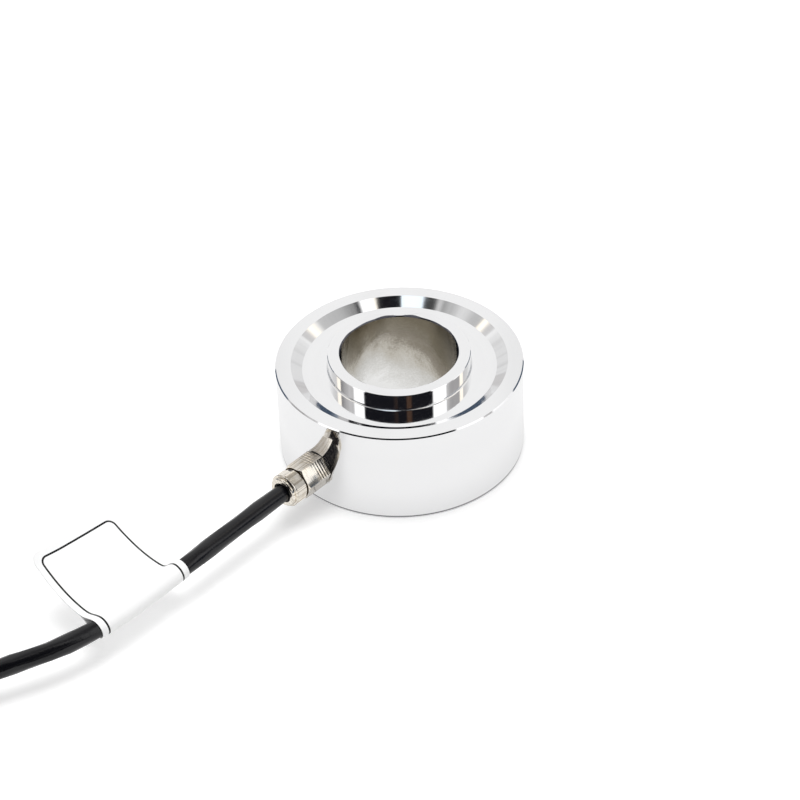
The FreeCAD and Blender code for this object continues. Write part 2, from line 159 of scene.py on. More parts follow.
class RingSizes(PropertyGroup):
    outer_diameter: length("Outer diameter", "Across the outer ring", 0.0700)
    rim_height: length("Rim height", "Top of the outer ring above the base", 0.0283)
    rim_inner_diameter: length("Recess opening", "Across the recess at the rim", 0.0611)
    recess_floor_diameter: length("Recess floor", "Across the recess at its floor", 0.0549)
    recess_depth: length("Recess depth", "Floor of the recess below the rim", 0.0019)
    hub_diameter: length("Hub diameter", "Across the raised hub", 0.0403)
    hub_rise: length("Hub rise", "Top of the hub above the rim", 0.0030)
    bore_diameter: length("Bore diameter", "Across the through bore", 0.0331)
    web_thickness: length("Web thickness", "Between the recess floor and the gauge cavity", 0.0050)
    cavity_diameter: length("Cavity diameter", "Across the gauge cavity", 0.0546)
    cavity_fillet: length("Cavity fillet", "Round in the cavity's upper corners", 0.0008)
    cover_outer_diameter: length("Cover seat", "Across the seat of the bottom cover", 0.0600)
    cover_inner_diameter: length("Cover hole", "Across the step that the cover slips over", 0.0368)
    cover_lift: length("Cover lift", "Cover above the base plane", 0.0008)
    cover_thickness: length("Cover thickness", "Sheet of the bottom cover", 0.0008)
    rim_edge: length("Rim edge", "Bevel of the rim's outer edge", 0.00032)
    foot_edge: length("Foot edge", "Bevel of the foot's outer edge", 0.0004)
    bore_edge: length("Bore edge", "Bevel of the bore's two edges", 0.0003)
    hub_edge: length("Hub edge", "Bevel of the hub's outer edge", 0.00015)
    hub_root: length("Hub root", "Round at the foot of the hub", 0.00045)
    hand_wobble: length("Hand wobble", "Unevenness of the bore's hand-broken edge", 0.00022)
    facets: IntProperty(name="Facets", description="Steps round the ring", default=360, min=48)


class GlandSizes(PropertyGroup):
    azimuth: angle("Azimuth", "Direction of the gland about the bore, from +X", -132.9)
    height: length("Height", "Gland's axis above the base", 0.0116)
    seat_diameter: length("Seat diameter", "Spot face in the ring's wall", 0.0109)
    seat_depth: length("Seat depth", "Depth of the spot face", 0.0004)
    thread_diameter: length("Thread diameter", "Across the threaded stub", 0.0070)
    stub_end: length("Stub end", "Inner end of the threaded stub from the bore's axis", 0.0284)
    hex_flats: length("Hexagon", "Across the body's flats", 0.00924)
    hex_length: length("Hexagon length", "Length of the body's flats", 0.0084)
    hex_turn: angle("Hexagon turn", "Turn of the body's hexagon", 6.9)
    hex_end_diameter: length("Hexagon end", "Across the chamfered end", 0.0094)
    neck_diameter: length("Neck", "Across the threaded neck", 0.0068)
    neck_length: length("Neck length", "Length of the threaded neck", 0.0030)
    nut_gap: length("Nut gap", "Between the body and the nut", 0.0002)
    nut_set_back: length("Nut set back", "Bevelled back of the nut's collar", 0.00012)
    nut_flats: length("Nut flats", "Across the nut's flats", 0.00845)
    nut_turn: angle("Nut turn", "Turn of the nut's hexagon", 29.0)
    nut_hex_length: length("Nut hexagon", "Length of the nut's flats", 0.0037)
    nut_collar: length("Nut collar", "Length of the round collar at the nut's back", 0.00040)
    collar_diameter: length("Collar", "Across the round collar at the nut's back", 0.0087)
    collar_bevel: share("Collar bevel", "Collar's bevel by its length", 0.8)
    nut_end_wall: length("Nut end", "Length of the nut's round end", 0.0017)
    ridge_diameter: length("Ridge", "Across the ridge at the flats' end", 0.0098)
    ridge_width: length("Ridge width", "Width of the ridge", 0.0008)
    ridge_round: share("Ridge round", "Ridge's rounds by its width", 0.45)
    end_overlap: length("Overlap", "How far the nut's round end starts inside its hexagon", 0.0002)
    groove_diameter: length("Groove", "Across the groove behind the ridge", 0.0086)
    lip_diameter: length("Lip", "Across the nut's end face", 0.0078)
    mouth_diameter: length("Mouth", "Across the nut's mouth", 0.0060)
    insert_set_back: length("Insert set back", "Rubber insert behind the nut's end", 0.00025)
    lines_start: length("Lines start", "Where the body's deep turning lines fade out", 0.0402)
    lines_full: length("Lines full", "Where the body's deep turning lines are full", 0.0378)
    lines_spacing: length("Lines spacing", "Between the body's deep turning lines", 0.0009)
    insert_edge: length("Insert edge", "Round of the rubber insert's two edges", 0.00015)
    edge: length("Broken edge", "Bevel of the flats' edges", 0.00012)


class CableSizes(PropertyGroup):
    diameter: length("Diameter", "Across the sheath", 0.0050)
    lay_length: length("Lay length", "One turn of the cores that show through the sheath", 0.066)
    flute_depth: length("Flute depth", "Between a core's crest and the mean sheath", 0.00016)
    start: length("Start", "Inner end from the bore's axis", 0.0290)
    first_corner: length("First corner", "Straight way out of the gland", 0.0640)
    coil_outer_turn: length("Outer turn", "Radius of the coil's outermost turn", 0.0375)
    coil_inner_turn: length("Inner turn", "Radius of the coil's innermost turn", 0.0225)
    coil_top_turn: length("Top turn", "Radius of the raised last turn", 0.0300)
    coil_lift: length("Coil lift", "Lowest turn above the base", 0.0006)
    coil_layers: IntProperty(name="Layers", description="Layers of the coil", default=3, min=1)
    turns_per_layer: IntProperty(name="Turns", description="Turns in each layer", default=3, min=1)
    points_per_turn: IntProperty(name="Points", description="Points of a turn", default=16, min=12)
    top_turn_sweep: angle("Top sweep", "How far round the raised last turn goes", 250.0)
    climb_sweep: angle("Climb", "Turn in which the cable climbs a layer", 50.0)
    strap_width: length("Strap width", "Width of a strap", 0.0090)
    strap_thickness: length("Strap thickness", "Thickness of a strap", 0.0006)
    strap_weave: share("Strap weave", "Woven sheet's thickness by the strap's", 0.8)
    strap_start: length("Strap start", "Height of a strap's covered end", 0.0110)
    strap_lap_foot: length("Lap foot", "Height at which the overlap starts", 0.0045)
    strap_lap_top: length("Lap top", "Height at which the overlap lies on the strap", 0.0060)
    strap_lap_out: length("Lap", "How far out the overlap lies", 0.00045)
    strap_end: length("Strap end", "Height of a strap's visible end", 0.0140)
    strap_round: length("Strap round", "Rounds of a strap's path", 0.0016)
    sleeve_diameter: length("Sleeve", "Across the shrink sleeve", 0.0056)
    sleeve_neck: length("Sleeve neck", "Across the sleeve where it grips the cores", 0.0042)
    sleeve_length: length("Sleeve length", "Length of the shrink sleeve", 0.0140)
    sleeve_shoulder: length("Sleeve shoulder", "Where the sleeve starts to narrow", 0.0080)
    sleeve_narrow: length("Sleeve narrow", "Where the sleeve has narrowed to its neck", 0.0105)
    sleeve_shoulder_round: length("Shoulder round", "Round of the sleeve's shoulder", 0.0012)
    sleeve_neck_round: length("Neck round", "Round at the start of the sleeve's neck", 0.0010)
    sleeve_end_round: length("Sleeve end round", "Round of the sleeve's two ends", 0.0003)
    core_diameter: length("Core", "Across a core's insulation", 0.0012)
    core_pitch: length("Core pitch", "Between neighbouring cores", 0.0015)
    screen_diameter: length("Screen", "Across the twisted screen wire", 0.0007)
    core_straight: length("Core start", "Straight start of a core after the sleeve", 0.0050)
    core_inset: length("Core inset", "Inward step of a core's first point", 0.0005)
    tinned_length: length("Tinned length", "Bare tinned end of a core", 0.0050)
    tinned_share: share("Tinned share", "Bare end's thickness by the core's", 0.65)


class LabelSizes(PropertyGroup):
    distance: length("Distance", "From the cable's inner end to the label", 0.0582)
    width: length("Width", "Along the cable", 0.0302)
    film: length("Film", "Thickness of the film", 0.00014)
    clearance: length("Clearance", "Between the sheath and the film", 0.00012)
    join_distance: length("Join", "From the cable's axis to where the film's halves meet", 0.0070)
    line_inset: length("Line inset", "Border line from the film's edge", 0.0021)
    line_width: length("Line width", "Width of the border line", 0.00054)
    line_corner: length("Line corner", "Radius of the border line's corners", 0.0021)
    film_corner: length("Film corner", "Radius of the film's corners", 0.0030)
    columns: IntProperty(name="Columns", description="Steps along the cable", default=44, min=4)
    flag_steps: IntProperty(name="Flag steps", description="Steps along the flag", default=40, min=4)
    ease_steps: IntProperty(name="Ease steps", description="Steps from flag to loop", default=10, min=2)
    loop_steps: IntProperty(name="Loop steps", description="Steps round the cable", default=36, min=8)


class Finishes(PropertyGroup):
    steel: colour("Steel", "Polished stainless steel", (0.92, 0.92, 0.925))
    bore_steel: colour("Bore", "Honed steel of the bore", (0.62, 0.59, 0.54))
    nickel: colour("Nickel", "Plating of the gland", (0.93, 0.88, 0.80))
    rubber: colour("Rubber", "Seals", (0.008, 0.008, 0.008))
    sheath: colour("Sheath", "Cable sheath", (0.004, 0.004, 0.0055))
    film: colour("Film", "Label film", (0.97, 0.97, 0.97))
    ink: colour("Ink", "Border line of the label", (0.002, 0.002, 0.003))
    strap: colour("Strap", "Hook-and-loop strap", (0.016, 0.016, 0.017))
    red: colour("Red", "Insulation", (0.55, 0.015, 0.012))
    green: colour("Green", "Insulation", (0.012, 0.23, 0.050))
    black: colour("Black", "Insulation", (0.010, 0.010, 0.010))
    white: colour("White", "Insulation", (0.80, 0.80, 0.77))
    tinned: colour("Tinned wire", "Bare ends and screen", (0.74, 0.73, 0.70))
    # Painted shadow: the dark line along the foot of the ring's wall
    painted_foot_shadow: colour("Dull foot", "Lowest part of the ring's wall", (0.12, 0.12, 0.13))
    broken_edge: colour("Broken edge", "Bore's edge, broken by hand", (0.12, 0.12, 0.14))
    # Painted shade: the dark foot bevel stands in for the contact shade where the ring meets the floor
    foot_edge: colour("Foot edge", "Turned edge of the foot", (0.42, 0.42, 0.43))
    worn_nickel: colour("Worn plating", "Plating where it was handled", (0.62, 0.53, 0.39))
    scored_nickel: colour("Scored plating", "Plating in its machining lines", (0.46, 0.40, 0.31))
    # Painted shade on the gland's faces that look down
    painted_underside_shade: colour("Low plating", "Plating on faces that look down", (0.10, 0.09, 0.07))
    dull_brass: colour("Dull brass", "Seam between the gland's hexagons", (0.10, 0.06, 0.018))
    strap_gap: colour("Strap gaps", "Between the strap's threads", (0.006, 0.006, 0.006))
    enamel: colour("Enamel", "Gauge wires", (0.45, 0.10, 0.03))
    laminate: colour("Laminate", "Solder mask of the board", (0.02, 0.13, 0.045))
    track: colour("Track", "Copper tracks under the solder mask", (0.05, 0.22, 0.07))
    backing: colour("Gauge backing", "Film of the gauges", (0.55, 0.26, 0.05))
    foil: colour("Gauge foil", "Grid lines of the gauges", (0.30, 0.19, 0.10))
    lacquer: colour("Lacquer", "Resistors", (0.16, 0.34, 0.42))
    dark_lacquer: colour("Dark lacquer", "Dark specks on the resistors", (0.12, 0.28, 0.36))
    pale_lacquer: colour("Pale lacquer", "Pale specks on the resistors", (0.20, 0.40, 0.48))


class StageSizes(PropertyGroup):
    camera_distance: length("Camera distance", "From the origin", 0.690154)
    camera_elevation: FloatProperty(name="Elevation", description="Camera above the floor",
                                    default=0.69198202, precision=6, unit="ROTATION")
    camera_pan: FloatProperty(name="Pan", description="Camera's turn off the origin",
                              default=-3.016e-4, precision=6, unit="ROTATION")
    camera_tilt: FloatProperty(name="Tilt", description="Camera's tilt off the origin",
                               default=-1.56399e-2, precision=6, unit="ROTATION")
    camera_roll: FloatProperty(name="Roll", description="Camera's roll",
                               default=0.03691736, precision=6, unit="ROTATION")
    lens: FloatProperty(name="Lens", description="Focal length", default=107.599, unit="CAMERA")
    sensor_width: FloatProperty(name="Sensor", description="Width of the camera's sensor", default=36.0,
                                unit="CAMERA")
    near_clip: length("Near clip", "Nearest that the camera sees", 0.01)
    floor_size: length("Floor", "Side of the floor", 8.0)
    lamp_place: FloatVectorProperty(name="Lamp place", description="Middle of the soft box",
                                    default=(-0.03, 0.03, 0.80), subtype="TRANSLATION")
    lamp_size: length("Lamp size", "Side of the soft box", 0.50)
    lamp_power: FloatProperty(name="Lamp power", description="Of the soft box", default=3.9, unit="POWER")
    floor_colour: colour("Floor colour", "Floor in the light", (0.88, 0.88, 0.88))
    mirrored_floor: colour("Mirrored floor", "Floor in reflections", (0.33, 0.33, 0.33))
    sky: share("Sky", "Even light from all round", 0.60)
    floor_glow: share("Floor glow", "What the floor adds in the camera's view", 0.34)
    mirrored_glow: share("Mirrored glow", "What the floor adds in reflections", 0.60)


GROUPS = {
    "ring": RingSizes,
    "gland": GlandSizes,
    "cable": CableSizes,
    "label": LabelSizes,
    "finish": Finishes,
    "stage": StageSizes,
}


def settings(name):
    return getattr(bpy.context.scene, "sensor_" + name)


# Modelling helpers

def direction(azimuth):
    return Vector((math.cos(azimuth), math.sin(azimuth), 0))


def placed(start, across, up, out):
    """Moves the origin to a start and turns X, Y and Z to three directions."""
    return Matrix.Translation(start) @ Matrix((across, up, out)).transposed().to_4x4()


def gland_matrix():
    """Turns a piece built along +Z outwards along the gland's axis."""
    gland = settings("gland")
    out = direction(gland.azimuth)
    return placed(UP * gland.height, UP.cross(out), UP, out)


def ring_levels():
    """Radii and heights of the ring's main edges."""
    ring = settings("ring")
    floor = ring.rim_height - ring.recess_depth
    return SimpleNamespace(
        outer=ring.outer_diameter / 2, bore=ring.bore_diameter / 2, hub=ring.hub_diameter / 2,
        cavity=ring.cavity_diameter / 2, top=ring.rim_height + ring.hub_rise, floor=floor,
        web=floor - ring.web_thickness)


def gland_stations():
    """Where the gland's pieces start and end along its axis, from the bore's axis."""
    gland = settings("gland")
    wall = settings("ring").outer_diameter / 2
    hex_end = wall + gland.hex_length
    gap_end = hex_end + gland.nut_gap
    shoulder = gap_end + gland.nut_hex_length
    return SimpleNamespace(
        wall=wall, hex_end=hex_end, neck_end=hex_end + gland.neck_length,
        nut_start=gap_end + gland.nut_set_back, shoulder=shoulder, mouth=shoulder + gland.nut_end_wall)


def hexagon_blank(flats, end_diameter):
    """Radius at a hexagon's corners and at its chamfered end, and the chamfer's height at 30 degrees."""
    corner = flats / math.sqrt(3)
    end = end_diameter / 2
    return corner, end, (corner - end) * math.tan(math.radians(30))


def spun(outline, steps):
    """Closed outline of (radius, height) points, spun about Z."""
    bm = bmesh.new()
    ring = [bm.verts.new((radius, 0, height)) for radius, height in outline]
    edges = [bm.edges.new(pair) for pair in zip(ring, ring[1:] + ring[:1])]
    bmesh.ops.spin(bm, geom=ring + edges, cent=(0, 0, 0), axis=UP, angle=math.tau, steps=steps,
                   use_merge=True)
    bmesh.ops.remove_doubles(bm, verts=bm.verts, dist=DOUBLE)
    bmesh.ops.recalc_face_normals(bm, faces=bm.faces)
    return bm


def on_ring(vert, radius, height):
    return abs(vert.co.xy.length - radius) < CLOSE and abs(vert.co.z - height) < CLOSE


def bevel_ring(bm, radius, height, width, segments=1):
    """Bevels the ring of edges at a radius and a height."""
    edges = [edge for edge in bm.edges if all(on_ring(vert, radius, height) for vert in edge.verts)]
    bmesh.ops.bevel(bm, geom=edges, offset=width, offset_type="OFFSET", affect="EDGES",
                    segments=segments, profile=0.5, material=-1)


def hexagon(flats, turn, start, end):
    """Hexagonal prism about Z."""
    bm = bmesh.new()
    bmesh.ops.create_circle(bm, cap_ends=True, radius=flats / math.sqrt(3), segments=6)
    bmesh.ops.rotate(bm, verts=bm.verts, matrix=Matrix.Rotation(turn - math.pi / 2, 3, "Z"))
    bmesh.ops.translate(bm, verts=bm.verts, vec=UP * start)
    grown = bmesh.ops.extrude_face_region(bm, geom=bm.faces[:])["geom"]
    top = [item for item in grown if isinstance(item, bmesh.types.BMVert)]
    bmesh.ops.translate(bm, verts=top, vec=UP * (end - start))
    bmesh.ops.recalc_face_normals(bm, faces=bm.faces)
    return bm


def rod(radius, start, end, steps):
    return spun([(0, start), (radius, start), (radius, end), (0, end)], steps)


def add_object(name, data):
    piece = bpy.data.objects.new(name, data)
    bpy.context.scene.collection.objects.link(piece)
    return piece


def object_from(bm, name):
    mesh = bpy.data.meshes.new(name)
    bm.to_mesh(mesh)
    bm.free()
    return add_object(name, mesh)


def final_mesh(piece):
    """Mesh of a piece with its modifiers, or of a curve as it is drawn."""
    graph = bpy.context.evaluated_depsgraph_get()
    graph.update()
    return bpy.data.meshes.new_from_object(piece.evaluated_get(graph), depsgraph=graph)


def finish_with(piece, kind, **values):
    """Puts one modifier on a piece and bakes it into its mesh."""
    modifier = piece.modifiers.new(kind.lower(), kind)
    for name, value in values.items():
        setattr(modifier, name, value)
    mesh = final_mesh(piece)
    old = piece.data
    piece.modifiers.clear()
    piece.data = mesh
    mesh.name = old.name
    bpy.data.meshes.remove(old)


def join_solids(piece, tool_bm, operation):
    """Cuts, joins or intersects a piece with another solid, which is then deleted."""
    tool = object_from(tool_bm, "tool")
    finish_with(piece, "BOOLEAN", operation=operation, object=tool, solver="EXACT")
    bpy.data.objects.remove(tool)


def smooth(piece, degrees):
    """Smooth shading with the edges over an angle kept sharp."""
    piece.data.shade_smooth()
    piece.data.set_sharp_from_angle(angle=math.radians(degrees))


def sharpen_ring(mesh, radius, height):
    """Keeps the shading apart across the ring of edges at a radius and a height."""
    ring = [on_ring(vert, radius, height) for vert in mesh.vertices]
    for edge in mesh.edges:
        if all(ring[index] for index in edge.vertices):
            edge.use_edge_sharp = True


def settle(piece, nodes, slot, *materials):
    """Gives a piece its finish, its place in the frame and the solids that it stands for."""
    for material in materials:
        piece.data.materials.append(material)
    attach(piece, BODY)
    if nodes:
        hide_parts(*nodes)


def dress_node(node, material):
    """Puts a finish on one of the frame's own solids."""
    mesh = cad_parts[node].data
    mesh.materials.clear()
    mesh.materials.append(material)


# Shader helpers

def add_node(tree, kind, inputs=None, **values):
    """New node; its inputs are given as numbers, colours or other nodes' sockets."""
    node = tree.nodes.new(kind)
    for name, value in values.items():
        setattr(node, name, value)
    for key, value in (inputs or {}).items():
        if isinstance(value, bpy.types.NodeSocket):
            tree.links.new(value, node.inputs[key])
        else:
            node.inputs[key].default_value = value
    return node


def maths(tree, operation, *values):
    return add_node(tree, "ShaderNodeMath", dict(enumerate(values)), operation=operation).outputs[0]


def scaled(tree, value, by, plus=0.0):
    """Value times a factor, plus another."""
    return maths(tree, "MULTIPLY_ADD", value, by, plus)


def opaque(rgb):
    return (*rgb, 1.0)


def blend_colours(tree, factor, first, second):
    """Colour between two, each a socket or three numbers."""
    colours = [rgb if isinstance(rgb, bpy.types.NodeSocket) else opaque(rgb) for rgb in (first, second)]
    inputs = {0: factor, 6: colours[0], 7: colours[1]}
    return add_node(tree, "ShaderNodeMix", inputs, data_type="RGBA").outputs[2]


def coordinates(tree, kind="Object"):
    return tree.nodes.new("ShaderNodeTexCoord").outputs[kind]


def split(tree, vector):
    """The three parts of a vector."""
    return add_node(tree, "ShaderNodeSeparateXYZ", {0: vector}).outputs


def remap(tree, value, start, end, low=0.0, high=1.0, interpolation="LINEAR"):
    """Value that goes from low to high between a start and an end, and is held beyond them."""
    inputs = {"Value": value, "From Min": start, "From Max": end, "To Min": low, "To Max": high}
    node = add_node(tree, "ShaderNodeMapRange", inputs, interpolation_type=interpolation)
    return node.outputs["Result"]


def hypotenuse(tree, first, second):
    squares = [maths(tree, "MULTIPLY", part, part) for part in (first, second)]
    return maths(tree, "SQRT", maths(tree, "ADD", *squares))


def line_noise(tree, steps, detail):
    """Noise that changes along one value, about once in each whole step."""
    return add_node(tree, "ShaderNodeTexNoise", {"W": steps, "Scale": 1.0, "Detail": detail},
                    noise_dimensions="1D").outputs["Fac"]


def feed(tree, node, **sockets):
    """Links sockets to a node's named inputs."""
    for label, socket in sockets.items():
        tree.links.new(socket, node.inputs[label.replace("_", " ")])


# Shared shader effects

# Broad bands to one fine turning line, how much darker steel is between them, and the part of the
# foot's height where the painted shadow line is darkest
BROAD_BANDS = 0.06
BAND_TINT = 0.965
DARKEST_PART = 0.7


def new_group(name, inputs, outputs):
    """Shader group with named values in and out."""
    tree = bpy.data.node_groups.new(name, "ShaderNodeTree")
    for label, default in inputs.items():
        kind = "NodeSocketVector" if hasattr(default, "__len__") else "NodeSocketFloat"
        tree.interface.new_socket(label, in_out="INPUT", socket_type=kind).default_value = default
    for label in outputs:
        tree.interface.new_socket(label, in_out="OUTPUT", socket_type="NodeSocketFloat")
    return tree, tree.nodes.new("NodeGroupInput").outputs, tree.nodes.new("NodeGroupOutput")


def place_group(tree, name, **values):
    """Puts a shared effect in a material with the material's own values."""
    return add_node(tree, "ShaderNodeGroup", values, node_tree=bpy.data.node_groups[name]).outputs


def build_turning_lines():
    """Fine rings about the bore's axis, as a lathe leaves them, and broader bands."""
    tree, given, end = new_group("Turning lines", {"Spacing": 0.0002}, ["Height", "Band"])
    x, y, z = split(tree, coordinates(tree))
    across = maths(tree, "ADD", hypotenuse(tree, x, y), z)
    steps = maths(tree, "DIVIDE", across, given["Spacing"])
    broad_steps = maths(tree, "MULTIPLY", steps, BROAD_BANDS)
    feed(tree, end, Height=line_noise(tree, steps, detail=2.0),
         Band=line_noise(tree, broad_steps, detail=1.0))


def build_handling_marks():
    """Soft cloudy film left by wiping and hands, from 0 to 1."""
    tree, given, end = new_group("Handling marks", {"Size": 0.012, "Amount": 0.5}, ["Mask"])
    scale = maths(tree, "DIVIDE", 1.0, given["Size"])
    cloud = add_node(tree, "ShaderNodeTexNoise",
                     {"Vector": coordinates(tree), "Scale": scale, "Detail": 4.0,
                      "Roughness": 0.6, "Distortion": 0.6})
    feed(tree, end, Mask=remap(tree, cloud.outputs["Fac"], start=0.42, end=0.72, high=given["Amount"],
                               interpolation="SMOOTHSTEP"))


def build_fine_grain():
    """Fine uneven skin of moulded rubber or plastic."""
    tree, given, end = new_group("Fine grain", {"Size": 0.0002}, ["Height"])
    scale = maths(tree, "DIVIDE", 1.0, given["Size"])
    grain = add_node(tree, "ShaderNodeTexNoise",
                     {"Vector": coordinates(tree), "Scale": scale, "Detail": 3.0, "Roughness": 0.55})
    feed(tree, end, Height=grain.outputs["Fac"])


def build_axis_lines():
    """Lines square to a given axis, with the distance along that axis."""
    tree, given, end = new_group("Axis lines", {"Axis": (0.0, 0.0, 1.0), "Spacing": 0.0003},
                                 ["Height", "Distance"])
    along = add_node(tree, "ShaderNodeVectorMath", {0: coordinates(tree), 1: given["Axis"]},
                     operation="DOT_PRODUCT").outputs["Value"]
    steps = maths(tree, "DIVIDE", along, given["Spacing"])
    feed(tree, end, Height=line_noise(tree, steps, detail=1.0), Distance=along)


def build_weave():
    """Over-and-under weave on the piece's own map, in metres."""
    tree, given, end = new_group("Weave", {"Pitch": 0.0006}, ["Height", "Gap"])
    uv = split(tree, coordinates(tree, "UV"))
    waves = []
    for axis in (0, 1):
        threads = maths(tree, "DIVIDE", uv[axis], given["Pitch"])
        waves.append(maths(tree, "SINE", maths(tree, "MULTIPLY", threads, math.pi)))
    warp, weft = [maths(tree, "ABSOLUTE", wave) for wave in waves]
    over = maths(tree, "GREATER_THAN", maths(tree, "MULTIPLY", *waves), 0.0)
    under = maths(tree, "SUBTRACT", 1.0, over)
    height = scaled(tree, warp, by=over, plus=maths(tree, "MULTIPLY", weft, under))
    feed(tree, end, Height=height, Gap=maths(tree, "MULTIPLY", warp, weft))


class SENSOR_OT_effects(Operator):
    """Build the shader effects that several finishes share"""
    bl_idname = "sensor.effects"
    bl_label = "Shared effects"

    def execute(self, context):
        build_turning_lines()
        build_handling_marks()
        build_fine_grain()
        build_axis_lines()
        build_weave()
        return {"FINISHED"}


# Finishes

def new_material(name, rgb, roughness, metallic=0.0, **sockets):
    """Material with a Principled shader; returns it with its tree and shader."""
    material = bpy.data.materials.new(name)
    material.use_nodes = True
    material.diffuse_color = opaque(rgb)
    tree = material.node_tree
    shader = tree.nodes["Principled BSDF"]
    shader.inputs["Base Color"].default_value = opaque(rgb)
    shader.inputs["Roughness"].default_value = roughness
    shader.inputs["Metallic"].default_value = metallic
    for label, value in sockets.items():
        shader.inputs[label.replace("_", " ")].default_value = value
    return material, tree, shader


def add_bump(tree, shader, height, depth):
    """Bump of a depth in metres."""
    bump = add_node(tree, "ShaderNodeBump", {"Height": height, "Distance": depth, "Strength": 1.0})
    feed(tree, shader, Normal=bump.outputs["Normal"])


def turned_steel(name, rgb, roughness, line_depth, marks, spacing=0.00018, foot=0.0):
    """Turned and polished steel: rings of tool marks under a faint wiped film, and below a foot height a
    painted shadow line.
    """
    material, tree, shader = new_material(name, rgb, roughness, metallic=1.0)
    lines = place_group(tree, "Turning lines", Spacing=spacing)
    mask = place_group(tree, "Handling marks", Amount=marks)["Mask"]
    rough = scaled(tree, lines["Band"], by=0.04, plus=roughness - 0.02)
    rough = maths(tree, "ADD", rough, mask)
    tint = blend_colours(tree, lines["Band"], [BAND_TINT * part for part in rgb], rgb)
    # Painted shadow line: below the foot height the steel darkens towards the painted foot shadow colour
    if foot:
        low = remap(tree, split(tree, coordinates(tree))[2], start=foot, end=DARKEST_PART * foot)
        tint = blend_colours(tree, low, tint, settings("finish").painted_foot_shadow)
    feed(tree, shader, Roughness=rough, Base_Color=tint)
    add_bump(tree, shader, lines["Height"], depth=line_depth)
    return material


# The bore's painted shade in metres: between which heights it gives way to a painted reflection of the
# floor, and how far from the middle it comes back on the flanks; then how much less of it there is per
# metre to the left
SHADE_HEIGHTS = (0.0310, 0.0050)
FLANKS = (0.008, 0.0135)
SHADE_LEAN = -20.0

# Colours of the bore's wall, from its painted brown shade to the painted reflection of the floor, at
# places on the colour ramp
BORE_SHADING = (
    (-180, (0.095, 0.080, 0.055)),
    (-50, (0.20, 0.175, 0.13)),
    (18, (0.32, 0.29, 0.24)),
    (60, (0.56, 0.53, 0.47)),
    (108, (0.69, 0.68, 0.65)),
    (180, (0.95, 0.95, 0.94)),
)


def honed_bore():
    """Satin bore wall: fine honing, with painted brown shade at the top and on the flanks that gives way
    to a painted reflection of the floor towards the foot and the left.
    """
    rgb = settings("finish").bore_steel
    material, tree, shader = new_material("honed_bore", rgb, roughness=0.30, metallic=1.0)
    x, _, z = split(tree, coordinates(tree))
    grain = place_group(tree, "Fine grain", Size=0.0005)["Height"]
    cloud = place_group(tree, "Handling marks", Size=0.012, Amount=0.16)["Mask"]
    # Painted shade and reflection: dark at the top and on the flanks, light towards the foot and the left
    depth = remap(tree, z, *SHADE_HEIGHTS, low=-0.08, high=1.0)
    flank = remap(tree, maths(tree, "ABSOLUTE", x), *FLANKS, low=0.10, high=0.58,
                  interpolation="SMOOTHSTEP")
    flank = maths(tree, "MULTIPLY", flank, scaled(tree, depth, by=-0.70, plus=1.0))
    painted_light = scaled(tree, x, by=SHADE_LEAN, plus=depth)
    painted_light = maths(tree, "SUBTRACT", painted_light, flank)
    painted_light = maths(tree, "SUBTRACT", painted_light, cloud)
    painted_light = scaled(tree, grain, by=0.30, plus=painted_light)
    film = add_node(tree, "ShaderNodeValToRGB", {0: scaled(tree, painted_light, by=0.6, plus=0.4)})
    fill_ramp(film, BORE_SHADING)
    feed(tree, shader, Base_Color=film.outputs["Color"],
         Roughness=scaled(tree, grain, by=0.06, plus=0.04))
    add_bump(tree, shader, grain, depth=0.000004)
    return material


def nickel_plate(name, end_lines):
    """Plated brass with machining lines square to the gland's axis, ridges at the body's end, and painted
    shade on faces that look down.
    """
    finish = settings("finish")
    gland = settings("gland")
    axis = direction(gland.azimuth)
    slanting = (UP.cross(axis) + UP).normalized()
    material, tree, shader = new_material(name, finish.nickel, roughness=0.14, metallic=1.0)
    turned = place_group(tree, "Axis lines", Axis=axis, Spacing=0.00034)
    drawn = place_group(tree, "Axis lines", Axis=slanting, Spacing=0.00028)
    worn = place_group(tree, "Handling marks", Size=0.003, Amount=0.45)["Mask"]
    scored = scaled(tree, maths(tree, "GREATER_THAN", drawn["Height"], 0.56), by=0.60)
    facing = split(tree, tree.nodes.new("ShaderNodeNewGeometry").outputs["Normal"])
    # Painted shade: faces that look down are darkened, more the further down they look
    under = remap(tree, facing[2], start=-0.9, end=-0.15, low=0.95, high=0.0)
    tint = finish.nickel
    for mask, rgb in ((worn, finish.worn_nickel), (scored, finish.scored_nickel),
                      (under, finish.painted_underside_shade)):
        tint = blend_colours(tree, mask, tint, rgb)
    feed(tree, shader, Base_Color=tint, Roughness=scaled(tree, drawn["Height"], by=0.14, plus=0.07))
    height = scaled(tree, turned["Height"], by=0.5, plus=drawn["Height"])
    if end_lines:
        near_wall = remap(tree, turned["Distance"], gland.lines_start, gland.lines_full,
                          interpolation="SMOOTHSTEP")
        turns = maths(tree, "MULTIPLY", turned["Distance"], math.tau / gland.lines_spacing)
        height = scaled(tree, maths(tree, "SINE", turns), by=near_wall, plus=height)
    add_bump(tree, shader, height, depth=0.000012)
    return material


def moulded(name, rgb, roughness, grain_size=0.00025, depth=0.00001):
    """Rubber or plastic with a fine skin and a faint cloudy sheen."""
    material, tree, shader = new_material(name, rgb, roughness)
    grain = place_group(tree, "Fine grain", Size=grain_size)["Height"]
    mask = place_group(tree, "Handling marks", Size=0.008, Amount=0.12)["Mask"]
    feed(tree, shader, Roughness=maths(tree, "ADD", mask, roughness))
    add_bump(tree, shader, grain, depth=depth)
    return material


def sheath_material():
    """Satin sheath with a fine skin, a little scuffed."""
    rgb = settings("finish").sheath
    material, tree, shader = new_material("cable_sheath", rgb, roughness=0.20,
                                          Specular_IOR_Level=0.40)
    grain = place_group(tree, "Fine grain", Size=0.0006)["Height"]
    mask = place_group(tree, "Handling marks", Size=0.010, Amount=0.12)["Mask"]
    feed(tree, shader, Roughness=maths(tree, "ADD", mask, 0.15))
    add_bump(tree, shader, grain, depth=0.00003)
    return material


